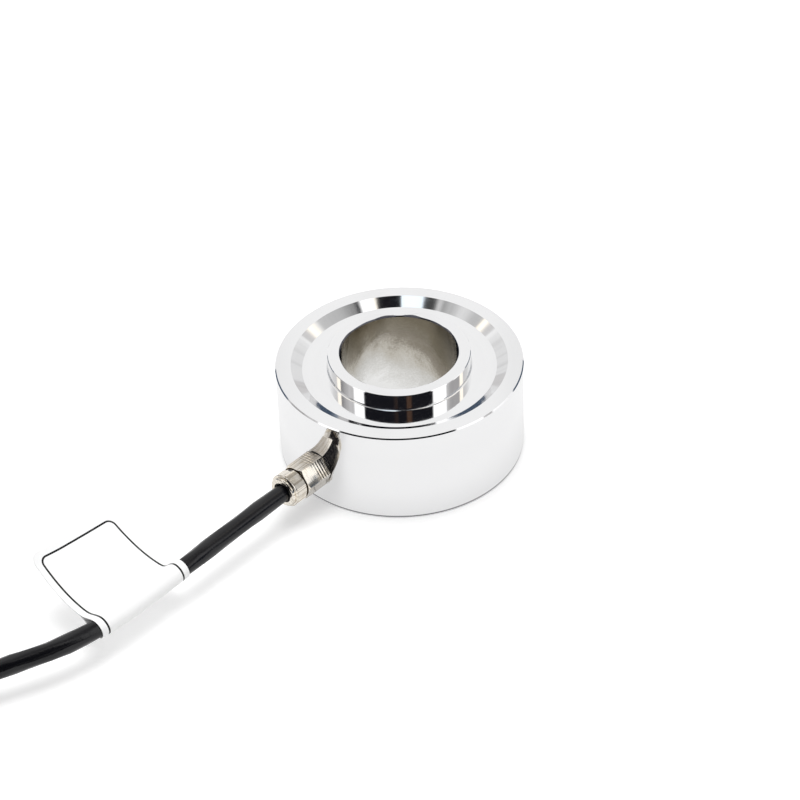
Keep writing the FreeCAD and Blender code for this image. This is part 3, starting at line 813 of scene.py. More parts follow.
def label_material(flat_length):
    """White film with a thin border line all round its flat shape."""
    label = settings("label")
    finish = settings("finish")
    material, tree, shader = new_material("label_film", finish.film, roughness=0.42,
                                          Specular_IOR_Level=0.3)
    uv = split(tree, coordinates(tree, "UV"))
    beyond = []
    for axis, half in enumerate((label.width / 2, flat_length / 2)):
        off_centre = maths(tree, "ABSOLUTE", maths(tree, "SUBTRACT", uv[axis], half))
        beyond.append(maths(tree, "SUBTRACT", off_centre, half - label.line_inset - label.line_corner))
    corner = hypotenuse(tree, *[maths(tree, "MAXIMUM", value, 0.0) for value in beyond])
    inside = maths(tree, "MINIMUM", maths(tree, "MAXIMUM", *beyond), 0.0)
    distance = maths(tree, "SUBTRACT", maths(tree, "ADD", corner, inside), label.line_corner)
    ink = remap(tree, maths(tree, "ABSOLUTE", distance), start=label.line_width * 0.55,
                end=label.line_width * 0.45)
    feed(tree, shader, Base_Color=blend_colours(tree, ink, finish.film, finish.ink))
    grain = place_group(tree, "Fine grain", Size=0.0012)["Height"]
    add_bump(tree, shader, grain, depth=0.00001)
    return material


def strap_material():
    """Woven strap, darker between its threads."""
    finish = settings("finish")
    material, tree, shader = new_material("strap_fabric", finish.strap, roughness=0.8,
                                          Sheen_Weight=0.4, Sheen_Roughness=0.4)
    weave = place_group(tree, "Weave", Pitch=0.0005)
    feed(tree, shader, Base_Color=blend_colours(tree, weave["Gap"], finish.strap_gap, finish.strap))
    add_bump(tree, shader, weave["Height"], depth=0.00012)
    return material


def insulation(name):
    rgb = getattr(settings("finish"), name)
    return moulded("insulation_" + name, rgb, roughness=0.30, grain_size=0.0006, depth=0.000006)


def tinned_wire(name="tinned_wire"):
    """Tinned metal, bright and slightly dull by turns."""
    material, tree, shader = new_material(name, settings("finish").tinned, roughness=0.28,
                                          metallic=1.0)
    grain = place_group(tree, "Fine grain", Size=0.00018)["Height"]
    feed(tree, shader, Roughness=scaled(tree, grain, by=0.2, plus=0.18))
    add_bump(tree, shader, grain, depth=0.00004)
    return material


def patterned(name, rgb, shades, roughness, pattern, depth, cut=None):
    """Two shades laid out by a pattern's height, with a sharp edge between them at a cut."""
    material, tree, shader = new_material(name, rgb, roughness)
    effect, values = pattern
    height = place_group(tree, effect, **values)["Height"]
    if cut is not None:
        height = maths(tree, "GREATER_THAN", height, cut)
    feed(tree, shader, Base_Color=blend_colours(tree, height, *shades))
    add_bump(tree, shader, height, depth=depth)
    return material


def board_laminate():
    """Green solder mask over faint copper tracks that run round the board."""
    finish = settings("finish")
    return patterned("board_laminate", finish.laminate, (finish.laminate, finish.track),
                     roughness=0.32, pattern=("Turning lines", {"Spacing": 0.0008}),
                     depth=0.00003, cut=0.56)


def gauge_film():
    """Amber backing with the dark lines of the foil grid."""
    finish = settings("finish")
    return patterned("gauge_film", finish.backing, (finish.backing, finish.foil),
                     roughness=0.30, pattern=("Turning lines", {"Spacing": 0.00025}),
                     depth=0.00001, cut=0.5)


def resistor_body():
    """Lacquered body with a speckle, on the frame's own solid."""
    finish = settings("finish")
    return patterned("resistor_body", finish.lacquer, (finish.dark_lacquer, finish.pale_lacquer),
                     roughness=0.25, pattern=("Fine grain", {"Size": 0.0004}), depth=0.00001)


# Pieces

def ring_outline():
    """Half section of the ring, web and hub as (radius, height) points."""
    ring = settings("ring")
    at = ring_levels()
    seat = ring.cover_outer_diameter / 2
    step = ring.cover_inner_diameter / 2
    cover_top = ring.cover_lift + ring.cover_thickness
    return [
        (at.bore, ring.cover_lift), (at.bore, at.top), (at.hub, at.top), (at.hub, at.floor),
        (ring.recess_floor_diameter / 2, at.floor), (ring.rim_inner_diameter / 2, ring.rim_height),
        (at.outer, ring.rim_height), (at.outer, 0), (seat, 0), (seat, cover_top), (at.cavity, cover_top),
        (at.cavity, at.web), (at.hub, at.web), (at.hub, cover_top), (step, cover_top),
        (step, ring.cover_lift),
    ]


def break_edge_by_hand(bm):
    """Makes the bore's upper bevel a little uneven, as a hand-held tool leaves it."""
    ring = settings("ring")
    at = ring_levels()
    for vert in bm.verts:
        if on_ring(vert, at.bore + ring.bore_edge, at.top):
            around = vert.co.xy / vert.co.xy.length
            where = (around.x * WOBBLE_PACE, around.y * WOBBLE_PACE, WOBBLE_START)
            push = ring.hand_wobble * noise.noise(Vector(where))
            for azimuth, half_width, depth in EDGE_DENTS:
                off = math.degrees(math.atan2(around.y, around.x)) - azimuth
                push += depth * max(0.0, 1 - (off / half_width) ** 2) ** 2
            vert.co.xy += around * max(push, -0.5 * ring.bore_edge)


def ring_zone(face):
    """Which of the ring's finishes a face has."""
    ring = settings("ring")
    at = ring_levels()
    out = face.center.xy.length
    height = face.center.z
    upward = face.normal.z
    sideways = abs(upward) < WALL_TILT
    if sideways and abs(out - at.outer) < NEAR_WALL:
        return "wall"
    if sideways and abs(out - at.bore) < NEAR_WALL:
        return "bore"
    if not sideways and height < ring.foot_edge and out > at.outer - ring.foot_edge:
        return "foot"
    if height < at.floor - NEAR_WALL / 2:
        return "underside"
    on_edge = at.top - ring.bore_edge < height < at.top - CLOSE
    if not sideways and on_edge and out < at.bore + 2 * ring.bore_edge:
        return "broken edge"
    in_root = abs(out - at.hub) < ring.hub_root and height < at.floor + ring.hub_root
    if in_root and ROOT_TILT[0] < upward < ROOT_TILT[1]:
        return "hub root"
    return "flats" if upward > FLAT_TILT else "slopes"


class SENSOR_OT_ring(Operator):
    """Turn the polished ring with its web, hub and bore, and cut the gland's hole"""
    bl_idname = "sensor.ring"
    bl_label = "Polished ring"

    def execute(self, context):
        ring = settings("ring")
        at = ring_levels()
        bm = spun(ring_outline(), ring.facets)
        bevel_ring(bm, at.outer, ring.rim_height, ring.rim_edge)
        bevel_ring(bm, at.outer, 0, ring.foot_edge)
        bevel_ring(bm, at.bore, at.top, ring.bore_edge)
        bevel_ring(bm, at.bore, ring.cover_lift, ring.bore_edge)
        bevel_ring(bm, at.hub, at.top, ring.hub_edge)
        bevel_ring(bm, at.hub, at.floor, ring.hub_root, segments=4)
        for radius in (at.hub, at.cavity):
            bevel_ring(bm, radius, at.web, ring.cavity_fillet, segments=4)
        break_edge_by_hand(bm)
        piece = object_from(bm, "polished_ring")
        self.cut_gland_hole(piece)
        smooth(piece, degrees=30.0)
        sharpen_ring(piece.data, at.bore, at.top - ring.bore_edge)
        sharpen_ring(piece.data, at.hub, at.floor + ring.hub_root)
        sharpen_ring(piece.data, at.hub + ring.hub_root, at.floor)
        for face in piece.data.polygons:
            face.material_index = RING_ZONES.index(ring_zone(face))
        finishes = self.ring_finishes()
        settle(piece, ["sensor_body"], "sensor_steel", *[finishes[zone] for zone in RING_ZONES])
        return {"FINISHED"}

    def cut_gland_hole(self, piece):
        gland = settings("gland")
        outer = settings("ring").outer_diameter / 2
        seat = outer - gland.seat_depth
        thread = gland.thread_diameter / 2
        wide = gland.seat_diameter / 2
        hole = spun([(0, HOLE_START), (thread, HOLE_START), (thread, seat), (wide, seat),
                     (wide, outer + OVERSHOOT), (0, outer + OVERSHOOT)], steps=72)
        hole.transform(gland_matrix())
        join_solids(piece, hole, "DIFFERENCE")

    def ring_finishes(self):
        finish = settings("finish")
        steel = finish.steel
        return {
            # The wall gets a painted shadow line along its foot
            "wall": turned_steel("mirror_wall", steel, roughness=0.07, line_depth=0.0000002,
                                 marks=0.04, spacing=0.0006, foot=0.00085),
            "flats": turned_steel("turned_face", steel, roughness=0.06, line_depth=0.0000006,
                                  marks=0.03),
            "slopes": turned_steel("bright_slope", steel, roughness=0.06, line_depth=0.0000005,
                                   marks=0.02),
            "bore": honed_bore(),
            "underside": turned_steel("inner_turning", steel, roughness=0.32, line_depth=0.000004,
                                      marks=0.05),
            "broken edge": turned_steel("broken_edge", finish.broken_edge, roughness=0.25,
                                        line_depth=0.000004, marks=0.10),
            # Painted contact shade: the foot's bevel is darkened
            "foot": turned_steel("foot_edge", finish.foot_edge, roughness=0.30, line_depth=0.000004,
                                 marks=0.10),
            "hub root": turned_steel("hub_root", steel, roughness=0.10, line_depth=0.000001,
                                     marks=0.02),
        }


class SENSOR_OT_cover(Operator):
    """Finish the bottom cover's satin sheet"""
    bl_idname = "sensor.cover"
    bl_label = "Bottom cover"

    def execute(self, context):
        satin = turned_steel("satin_sheet", settings("finish").steel, roughness=0.34,
                             line_depth=0.000006, marks=0.08)
        dress_node("bottom_cover", satin)
        return {"FINISHED"}


class SENSOR_OT_gland(Operator):
    """Build the gland's hexagon body, its nut and the rubber insert, and finish the seal"""
    bl_idname = "sensor.gland"
    bl_label = "Cable gland"

    def execute(self, context):
        self.dull = turned_steel("dull_brass", settings("finish").dull_brass, roughness=0.5,
                                 line_depth=0.000003, marks=0.1)
        self.make_body()
        self.make_nut()
        self.make_insert()
        dress_node("gland_seal_ring", bpy.data.materials["seal_rubber"])
        return {"FINISHED"}

    def place(self, piece, nodes, slot, *materials):
        piece.data.transform(gland_matrix())
        smooth(piece, degrees=12.0)
        settle(piece, nodes, slot, *materials)

    def mark_seam(self, piece, height):
        """Gives the face at a height the dull second finish."""
        for face in piece.data.polygons:
            if abs(face.center.z - height) < CLOSE and abs(face.normal.z) > FLAT_TILT:
                face.material_index = 1

    def chamfered_hexagon(self, prism, outline, name):
        """Hexagon whose corners are turned off by a round blank, with its edges broken."""
        piece = object_from(prism, name)
        join_solids(piece, spun(outline, steps=96), "INTERSECT")
        finish_with(piece, "BEVEL", width=settings("gland").edge, segments=2, limit_method="ANGLE",
                    angle_limit=math.radians(25))
        return piece

    def make_body(self):
        gland = settings("gland")
        at = gland_stations()
        corner, end, rise = hexagon_blank(gland.hex_flats, gland.hex_end_diameter)
        piece = self.chamfered_hexagon(
            hexagon(gland.hex_flats, gland.hex_turn, at.wall, at.hex_end),
            [(0, at.wall), (corner, at.wall), (corner, at.hex_end - rise), (end, at.hex_end),
             (0, at.hex_end)],
            "gland_hexagon")
        thread = gland.thread_diameter / 2
        neck = gland.neck_diameter / 2
        core = spun([
            (0, gland.stub_end), (thread, gland.stub_end), (thread, at.wall + OVERSHOOT),
            (neck, at.wall + OVERSHOOT), (neck, at.neck_end), (0, at.neck_end),
        ], steps=64)
        join_solids(piece, core, "UNION")
        passage = rod(settings("cable").diameter / 2, gland.stub_end - OVERSHOOT,
                      at.neck_end + OVERSHOOT, steps=64)
        join_solids(piece, passage, "DIFFERENCE")
        self.mark_seam(piece, at.hex_end)
        nickel = nickel_plate("nickel_body", end_lines=True)
        self.place(piece, ["gland_body"], "gland_metal", nickel, self.dull)

    def make_nut(self):
        gland = settings("gland")
        at = gland_stations()
        start = at.nut_start
        corner, chamfered, rise = hexagon_blank(gland.nut_flats, gland.nut_flats)
        piece = self.chamfered_hexagon(
            hexagon(gland.nut_flats, gland.nut_turn, start, at.shoulder),
            [(0, start), (chamfered, start), (corner, start + rise), (corner, at.shoulder),
             (0, at.shoulder)],
            "gland_nut_body")
        collar_end = start + gland.nut_collar
        collar = rod(gland.collar_diameter / 2, start, collar_end, steps=128)
        bevel_ring(collar, gland.collar_diameter / 2, collar_end, gland.nut_collar * gland.collar_bevel)
        join_solids(piece, collar, "UNION")
        join_solids(piece, self.round_end(), "UNION")
        thread = gland.neck_diameter / 2
        mouth = gland.mouth_diameter / 2
        opening = spun([
            (0, start - OVERSHOOT), (thread, start - OVERSHOOT), (thread, at.shoulder),
            (mouth, at.shoulder), (mouth, at.mouth + OVERSHOOT), (0, at.mouth + OVERSHOOT),
        ], steps=96)
        join_solids(piece, opening, "DIFFERENCE")
        self.mark_seam(piece, start)
        nickel = nickel_plate("nickel_nut", end_lines=False)
        self.place(piece, ["gland_nut"], "gland_metal", nickel, self.dull)

    def round_end(self):
        """The nut's round end with its ridge, which starts a little inside the hexagon."""
        gland = settings("gland")
        at = gland_stations()
        groove = gland.groove_diameter / 2
        ridge = gland.ridge_diameter / 2
        ridge_end = at.shoulder + gland.ridge_width
        inside = at.shoulder - gland.end_overlap
        bm = spun([
            (0, inside), (groove, inside), (groove, at.shoulder), (ridge, at.shoulder),
            (ridge, ridge_end), (groove, ridge_end), (groove, at.mouth), (0, at.mouth),
        ], steps=128)
        for height in (at.shoulder, ridge_end):
            bevel_ring(bm, ridge, height, gland.ridge_width * gland.ridge_round, segments=4)
        bevel_ring(bm, groove, at.mouth, groove - gland.lip_diameter / 2, segments=6)
        return bm

    def make_insert(self):
        gland = settings("gland")
        at = gland_stations()
        start = at.shoulder - OVERSHOOT
        end = at.mouth - gland.insert_set_back
        inner = settings("cable").diameter / 2
        outer = gland.mouth_diameter / 2
        bm = spun([(inner, start), (outer, start), (outer, end), (inner, end)], steps=96)
        for radius in (outer, inner):
            bevel_ring(bm, radius, end, gland.insert_edge, segments=3)
        piece = object_from(bm, "gland_insert")
        rubber = moulded("seal_rubber", settings("finish").rubber, roughness=0.55)
        self.place(piece, ["gland_grommet"], "seal_rubber", rubber)


# Cable

def gland_point(out, height):
    return direction(settings("gland").azimuth) * out + UP * height


def coil_centre():
    """The cable joins the coil's outer, lowest turn at its nearest point to the camera."""
    entry = Vector(CABLE_RUN[-1])
    return Vector((entry.x, entry.y + settings("cable").coil_outer_turn, 0))


def coil_point(degrees, radius, height):
    return coil_centre() + direction(math.radians(degrees)) * radius + UP * height


def eased(value):
    value = min(max(value, 0.0), 1.0)
    return value * value * (3 - 2 * value)


def coil_turns():
    """Control points of the wound turns: layers that spiral in and out, then one turn on top."""
    cable = settings("cable")
    step = 360 / cable.points_per_turn
    bulge = 1 / math.cos(math.radians(step / 2))
    layer_sweep = 360 * cable.turns_per_layer
    climb = math.degrees(cable.climb_sweep)
    wound = layer_sweep * cable.coil_layers
    total = wound + math.degrees(cable.top_turn_sweep)
    low = cable.coil_lift + cable.diameter / 2
    points = []
    swept = step
    while swept < total - step / 2:
        layer = int(swept // layer_sweep)
        within = swept - layer * layer_sweep
        if layer < cable.coil_layers:
            inwards = within / layer_sweep
            if layer % 2:
                inwards = 1 - inwards
            radius = cable.coil_outer_turn + (cable.coil_inner_turn - cable.coil_outer_turn) * inwards
        else:
            outwards = eased((within - climb / 2) / (2 * climb))
            radius = cable.coil_inner_turn + (cable.coil_top_turn - cable.coil_inner_turn) * outwards
        risen = layer - 1 + eased(within / climb) if layer else 0
        points.append(coil_point(COIL_START - swept, radius * bulge, low + cable.diameter * risen))
        swept += step
    return points


def far_end_frame():
    """Start, heading and outward side of the shrink sleeve on the stripped end."""
    cable = settings("cable")
    degrees = COIL_START - math.degrees(cable.top_turn_sweep)
    top = cable.coil_lift + cable.coil_layers * cable.diameter
    start = coil_point(degrees, cable.coil_top_turn, top + cable.sleeve_diameter / 2)
    outwards = direction(math.radians(degrees))
    return start, outwards.cross(UP), outwards


def cable_points():
    cable = settings("cable")
    height = settings("gland").height
    start, heading, _ = far_end_frame()
    points = [gland_point(cable.start, height), gland_point(cable.first_corner, height)]
    points += [Vector(point) for point in CABLE_RUN]
    points += coil_turns()
    points += [start + heading * reach for reach in CABLE_END]
    return points


def spline_curve(name, points, radius, resolution=8, roundness=8):
    """Smooth curve with the given control points; a radius of 0 leaves it a bare line."""
    curve = bpy.data.curves.new(name, "CURVE")
    curve.dimensions = "3D"
    curve.resolution_u = resolution
    curve.render_resolution_u = resolution
    curve.bevel_depth = radius
    curve.bevel_resolution = roundness
    curve.use_fill_caps = True
    spline = curve.splines.new("NURBS")
    spline.points.add(len(points) - 1)
    for slot, point in zip(spline.points, points):
        slot.co = (*point, 1)
    spline.order_u = 3
    spline.use_endpoint_u = True
    return add_object(name, curve)


def line_of(points):
    """Points along the smooth curve of a route, read from the curve itself."""
    guide = spline_curve("guide", points, 0, resolution=24)
    mesh = final_mesh(guide)
    line = [vert.co.copy() for vert in mesh.vertices]
    bpy.data.objects.remove(guide)
    bpy.data.meshes.remove(mesh)
    return line


def point_along(line, distance):
    """Point at a distance along a line."""
    for here, there in zip(line, line[1:]):
        step = (there - here).length
        if distance <= step:
            return here.lerp(there, distance / step)
        distance -= step
    return line[-1]


class SENSOR_OT_cable(Operator):
    """Lay the cable from the gland to its wound length and its stripped end"""
    bl_idname = "sensor.cable"
    bl_label = "Cable"

    def execute(self, context):
        cable = settings("cable")
        tube = spline_curve("tube", cable_points(), cable.diameter / 2, resolution=6,
                            roundness=CABLE_ROUNDNESS)
        mesh = final_mesh(tube)
        bpy.data.objects.remove(tube)
        self.press_flutes(mesh)
        mesh.shade_smooth()
        piece = add_object("sensor_cable", mesh)
        settle(piece, ["cable_lead", "cable_coil"], "cable_sheath", sheath_material())
        return {"FINISHED"}

    def press_flutes(self, mesh):
        """Lets the twisted cores show as slowly winding crests round the tube."""
        cable = settings("cable")
        crests = len(FREE_CORES)
        swept = 0.0
        before = None
        for start in range(0, len(mesh.vertices) - CABLE_SIDES + 1, CABLE_SIDES):
            ring = mesh.vertices[start:start + CABLE_SIDES]
            centre = sum((vert.co for vert in ring), Vector()) / CABLE_SIDES
            if before:
                swept += (centre - before).length
            before = centre
            for side, vert in enumerate(ring):
                turn = math.tau * (side / CABLE_SIDES - swept / cable.lay_length)
                vert.co += (vert.co - centre).normalized() * cable.flute_depth * math.cos(crests * turn)


class SENSOR_OT_far_end(Operator):
    """Finish the stripped end: shrink sleeve, four cores, screen wire and tinned tips"""
    bl_idname = "sensor.far_end"
    bl_label = "Stripped end"

    def execute(self, context):
        cable = settings("cable")
        self.tinned = tinned_wire()
        self.make_sleeve()
        for name, side, level, azimuths, radius in FREE_CORES:
            self.make_core("lead_" + name, "core_" + name, insulation(name), side, level,
                           cable.core_diameter, azimuths, radius)
        self.make_core("shield_lead", "bare_screen", self.tinned, 0, 0, cable.screen_diameter,
                       SCREEN_AZIMUTHS, SCREEN_RADIUS)
        return {"FINISHED"}

    def make_sleeve(self):
        cable = settings("cable")
        start, heading, outwards = far_end_frame()
        wide = cable.sleeve_diameter / 2
        neck = cable.sleeve_neck / 2
        bm = spun([(0, 0), (wide, 0), (wide, cable.sleeve_shoulder), (neck, cable.sleeve_narrow),
                   (neck, cable.sleeve_length), (0, cable.sleeve_length)], steps=64)
        bevel_ring(bm, wide, cable.sleeve_shoulder, cable.sleeve_shoulder_round, segments=6)
        bevel_ring(bm, neck, cable.sleeve_narrow, cable.sleeve_neck_round, segments=6)
        bevel_ring(bm, wide, 0, cable.sleeve_end_round, segments=3)
        bevel_ring(bm, neck, cable.sleeve_length, cable.sleeve_end_round, segments=3)
        bm.transform(placed(start, outwards, heading.cross(outwards), heading))
        piece = object_from(bm, "shrink_sleeve")
        smooth(piece, degrees=40.0)
        plastic = moulded("sleeve_plastic", settings("finish").black, roughness=0.5,
                          grain_size=0.0006, depth=0.00003)
        settle(piece, ["end_sleeve"], "sleeve_plastic", plastic)

    def make_core(self, node, slot, material, side, level, diameter, azimuths, radius):
        cable = settings("cable")
        start, heading, outwards = far_end_frame()
        offset = outwards * (side * cable.core_pitch) + UP * (level * cable.core_pitch)
        first = start + heading * cable.sleeve_length + offset
        rest = cable.coil_lift + cable.coil_layers * cable.diameter + diameter / 2
        points = [first, first + heading * cable.core_straight]
        points.append(coil_point(azimuths[0], radius - cable.core_inset, (rest + points[1].z) / 2))
        points += [coil_point(degrees, radius, rest) for degrees in azimuths[1:]]
        piece = spline_curve(node + "_wire", points, diameter / 2, roundness=4)
        settle(piece, [node], slot, material)
        tip = self.make_tip(node + "_tip", points, cable.tinned_share * diameter / 2)
        settle(tip, [], "bare_screen", self.tinned)
        path_offsets(line_of(points))[-1]

    def make_tip(self, name, points, radius):
        """Bare tinned strands past the insulation."""
        heading = (points[-1] - points[-2]).normalized()
        reach = settings("cable").tinned_length
        bm = rod(radius, 0, reach, steps=24)
        bevel_ring(bm, radius, reach, radius / 2, segments=3)
        turn = heading.to_track_quat("Z", "Y").to_matrix().to_4x4()
        bm.transform(Matrix.Translation(points[-1]) @ turn)
        piece = object_from(bm, name)
        smooth(piece, degrees=40.0)
        return piece


# Sheets: straps and label

def swept_sheet(sections, rows, along):
    """Sheet through equal rows of points, each extruded from the last; its map is in metres."""
    bm = bmesh.new()
    chart = bm.loops.layers.uv.new("UVMap")
    row = [bm.verts.new(point) for point in sections[0]]
    edges = [bm.edges.new(pair) for pair in zip(row, row[1:])]
    where = {vert: (along[0], offset) for vert, offset in zip(row, rows[0])}
    for section, offsets, u in zip(sections[1:], rows[1:], along[1:]):
        grown = bmesh.ops.extrude_edge_only(bm, edges=edges)["geom"]
        fresh = {item for item in grown if isinstance(item, bmesh.types.BMVert)}
        following = []
        for vert in row:
            following.append(next(edge.other_vert(vert) for edge in vert.link_edges
                                  if edge.other_vert(vert) in fresh))
        for vert, point, offset in zip(following, section, offsets):
            vert.co = point
            where[vert] = (u, offset)
        edges = [item for item in grown if isinstance(item, bmesh.types.BMEdge)
                 and all(vert in fresh for vert in item.verts)]
        row = following
    for face in bm.faces:
        for loop in face.loops:
            loop[chart].uv = where[loop.vert]
    return bm


def curve_point(poles, t):
    """Point at a share of the smooth curve that a few poles draw."""
    while len(poles) > 1:
        poles = [here.lerp(there, t) for here, there in zip(poles, poles[1:])]
    return poles[0]


def rounded_path(corners, radius, steps=5):
    """Open path through flat corners, each replaced by a short arc."""
    path = [corners[0]]
    for before, corner, after in zip(corners, corners[1:], corners[2:]):
        reach = min(radius, (before - corner).length / 2, (after - corner).length / 2)
        into = corner + (before - corner).normalized() * reach
        out = corner + (after - corner).normalized() * reach
        path += [curve_point([into, corner, out], step / steps) for step in range(steps + 1)]
    path.append(corners[-1])
    return path


def path_offsets(path):
    offsets = [0.0]
    for here, there in zip(path, path[1:]):
        offsets.append(offsets[-1] + (there - here).length)
    return offsets


class SENSOR_OT_straps(Operator):
    """Wrap the three woven straps round the wound cable"""
    bl_idname = "sensor.straps"
    bl_label = "Coil straps"

    def execute(self, context):
        cable = settings("cable")
        half = cable.strap_width / 2
        path = self.strap_path()
        along = [half * 2 * step / (STRAP_STEPS - 1) for step in range(STRAP_STEPS)]
        sides = [half * (2 * step / (STRAP_STEPS - 1) - 1) for step in range(STRAP_STEPS)]
        sections = [[Vector((point.x, side, point.y)) for point in path] for side in sides]
        whole = bmesh.new()
        for degrees in STRAP_BEARINGS:
            bm = swept_sheet(sections, [path_offsets(path)] * STRAP_STEPS, along)
            turn = Matrix.Rotation(math.radians(degrees), 4, "Z")
            bm.transform(Matrix.Translation(coil_centre()) @ turn)
            part = bpy.data.meshes.new("strap")
            bm.to_mesh(part)
            bm.free()
            whole.from_mesh(part)
            bpy.data.meshes.remove(part)
        piece = object_from(whole, "woven_straps")
        finish_with(piece, "SOLIDIFY", thickness=cable.strap_thickness * cable.strap_weave, offset=0)
        smooth(piece, degrees=40.0)
        settle(piece, ["coil_straps"], "strap_fabric", strap_material())
        return {"FINISHED"}

    def strap_path(self):
        """Round the bundle in its own section and over the raised turn, with an overlap outside."""
        cable = settings("cable")
        gap = cable.strap_thickness / 2
        out = cable.coil_outer_turn + cable.diameter / 2 + gap
        hollow = cable.coil_inner_turn - cable.diameter / 2
        inn = math.sqrt(hollow ** 2 - (cable.strap_width / 2) ** 2) - gap
        low = cable.coil_lift - gap
        top = cable.coil_lift + cable.coil_layers * cable.diameter + gap
        crown = top + cable.diameter
        half = cable.diameter / 2
        lapped = out + cable.strap_lap_out
        corners = [
            (out, cable.strap_start), (out, top), (cable.coil_top_turn + half, crown),
            (cable.coil_top_turn - half, crown), (inn, top), (inn, low), (out, low),
            (out, cable.strap_lap_foot), (lapped, cable.strap_lap_top), (lapped, cable.strap_end),
        ]
        return rounded_path([Vector(corner) for corner in corners], cable.strap_round)


class SENSOR_OT_label(Operator):
    """Fold the blank film round the cable with its two halves stuck together as a flag"""
    bl_idname = "sensor.label"
    bl_label = "Wrap-round label"

    def execute(self, context):
        label = settings("label")
        line = line_of(cable_points()[:LABEL_ROUTE])
        along = [label.width * column / label.columns for column in range(label.columns + 1)]
        start = point_along(line, label.distance)
        end = point_along(line, label.distance + label.width)
        self.along = (end - start).normalized()
        sections = []
        rows = []
        for reach in along:
            centre = point_along(line, label.distance + reach)
            inset = self.corner_inset(min(reach, label.width - reach))
            section = self.film_section(centre, reach / label.width, inset)
            sections.append(section)
            rows.append([inset + offset for offset in path_offsets(section)])
        flat_length = rows[len(rows) // 2][-1]
        bm = swept_sheet(sections, rows, along)
        bmesh.ops.recalc_face_normals(bm, faces=bm.faces)
        piece = object_from(bm, "wrap_label")
        finish_with(piece, "SOLIDIFY", thickness=label.film, offset=0)
        smooth(piece, degrees=50.0)
        settle(piece, ["cable_label"], "label_film", label_material(flat_length))
        return {"FINISHED"}

    def flag_point(self, share_along, t):
        """Point of the flag's middle curve, sideways and up from the cable's axis."""
        poles = [Vector(a).lerp(Vector(b), share_along) for a, b in zip(FLAG_AT_START, FLAG_AT_END)]
        return curve_point(poles, t)

    def corner_inset(self, from_side):
        """How far the film's round corner sets its edge back at a distance from its side."""
        radius = settings("label").film_corner
        if from_side >= radius:
            return 0.0
        return radius - math.sqrt(radius ** 2 - (radius - from_side) ** 2)

    def film_section(self, centre, share_along, inset):
        """Film's path at one place: down the flag's upper half, round the cable and back out."""
        label = settings("label")
        radius = settings("cable").diameter / 2 + label.clearance + label.film / 2
        apart = label.film * GLUE
        steps = label.flag_steps
        flag = [self.flag_point(share_along, 1 - step / FLAG_CURVE_STEPS)
                for step in range(FLAG_CURVE_STEPS + 1)]
        flag = [point for point in flag if point.length > label.join_distance]
        flag = self.spread_evenly(flag, steps, inset)
        upper = []
        lower = []
        for index, point in enumerate(flag):
            ahead = flag[min(index + 1, len(flag) - 1)] - flag[max(index - 1, 0)]
            normal = Vector((ahead.y, -ahead.x)).normalized()
            upper.append(point + normal * apart)
            lower.append(point - normal * apart)
        join = flag[-1]
        bearing = math.atan2(join.y, join.x)
        swing = math.acos(radius / join.length)
        first = bearing + swing
        last = bearing + math.tau - swing
        loop = []
        for step in range(label.loop_steps + 1):
            turn = first + (last - first) * step / label.loop_steps
            loop.append(Vector((math.cos(turn), math.sin(turn))) * radius)
        heading = (flag[-1] - flag[-2]).normalized()
        onto = self.eased_run(upper[-1], heading, loop[0], (loop[1] - loop[0]).normalized())
        off = self.eased_run(lower[-1], heading, loop[-1], (loop[-2] - loop[-1]).normalized())
        section = upper + onto + loop + off[::-1] + lower[::-1]
        across = self.along.cross(UP).normalized()
        above = across.cross(self.along)
        return [centre + across * point.x + above * point.y for point in section]

    def eased_run(self, start, heading, end, end_heading):
        """Points of a smooth run between two places, without the places themselves."""
        reach = (end - start).length * EASE
        near = start + heading * reach
        far = end - end_heading * reach
        steps = settings("label").ease_steps
        return [curve_point([start, near, far, end], step / steps) for step in range(1, steps)]

    def spread_evenly(self, path, steps, inset):
        """The same path in equal steps, without its first bit."""
        offsets = path_offsets(path)
        even = []
        for step in range(steps + 1):
            target = inset + (offsets[-1] - inset) * step / steps
            index = max(i for i, offset in enumerate(offsets) if offset <= target + ROUNDING)
            if index >= len(path) - 1:
                even.append(path[-1])
                continue
            part = (target - offsets[index]) / (offsets[index + 1] - offsets[index])
            even.append(path[index].lerp(path[index + 1], part))
        return even


class SENSOR_OT_inside(Operator):
    """Finish the sealed pieces under the web: gauges, pads, board, resistors, wires and cores"""
    bl_idname = "sensor.inside"
    bl_label = "Gauges and board"

    def execute(self, context):
        finishes = {
            "strain_gauge": gauge_film(),
            "terminal_pad": tinned_wire("tinned_pad"),
            "trim_resistor": resistor_body(),
            "balance_board": board_laminate(),
            "gauge_wires": moulded("wire_enamel", settings("finish").enamel, roughness=0.25),
        }
        for name, *_ in FREE_CORES:
            finishes["core_" + name] = bpy.data.materials["insulation_" + name]
        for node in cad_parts:
            for start, material in finishes.items():
                if node.startswith(start):
                    dress_node(node, material)
        return {"FINISHED"}


class SENSOR_OT_cord(Operator):
    """Trace the cable's line and find the gland's mouth, keeping neither"""
    bl_idname = "sensor.cord"
    bl_label = "Cable facts"

    def execute(self, context):
        cable = settings("cable")
        gland = settings("gland")
        mouth = gland_stations().mouth
        line = line_of(cable_points())
        tuple(gland_point(mouth, gland.height))
        return {"FINISHED"}


# Studio

def camera_matrix():
    """Camera as fitted to the photograph: in front, raised, a little rolled."""
    stage = settings("stage")
    across = Vector((1, 0, 0))
    back = Vector((0, -math.cos(stage.camera_elevation), math.sin(stage.camera_elevation)))
    basis = Matrix((across, back.cross(across), back)).transposed()
    off_axis = (Matrix.Rotation(stage.camera_roll, 3, "Z") @ Matrix.Rotation(stage.camera_pan, 3, "Y")
                @ Matrix.Rotation(stage.camera_tilt, 3, "X"))
    turned = basis @ off_axis.transposed()
    return Matrix.Translation(back * stage.camera_distance) @ turned.to_4x4()


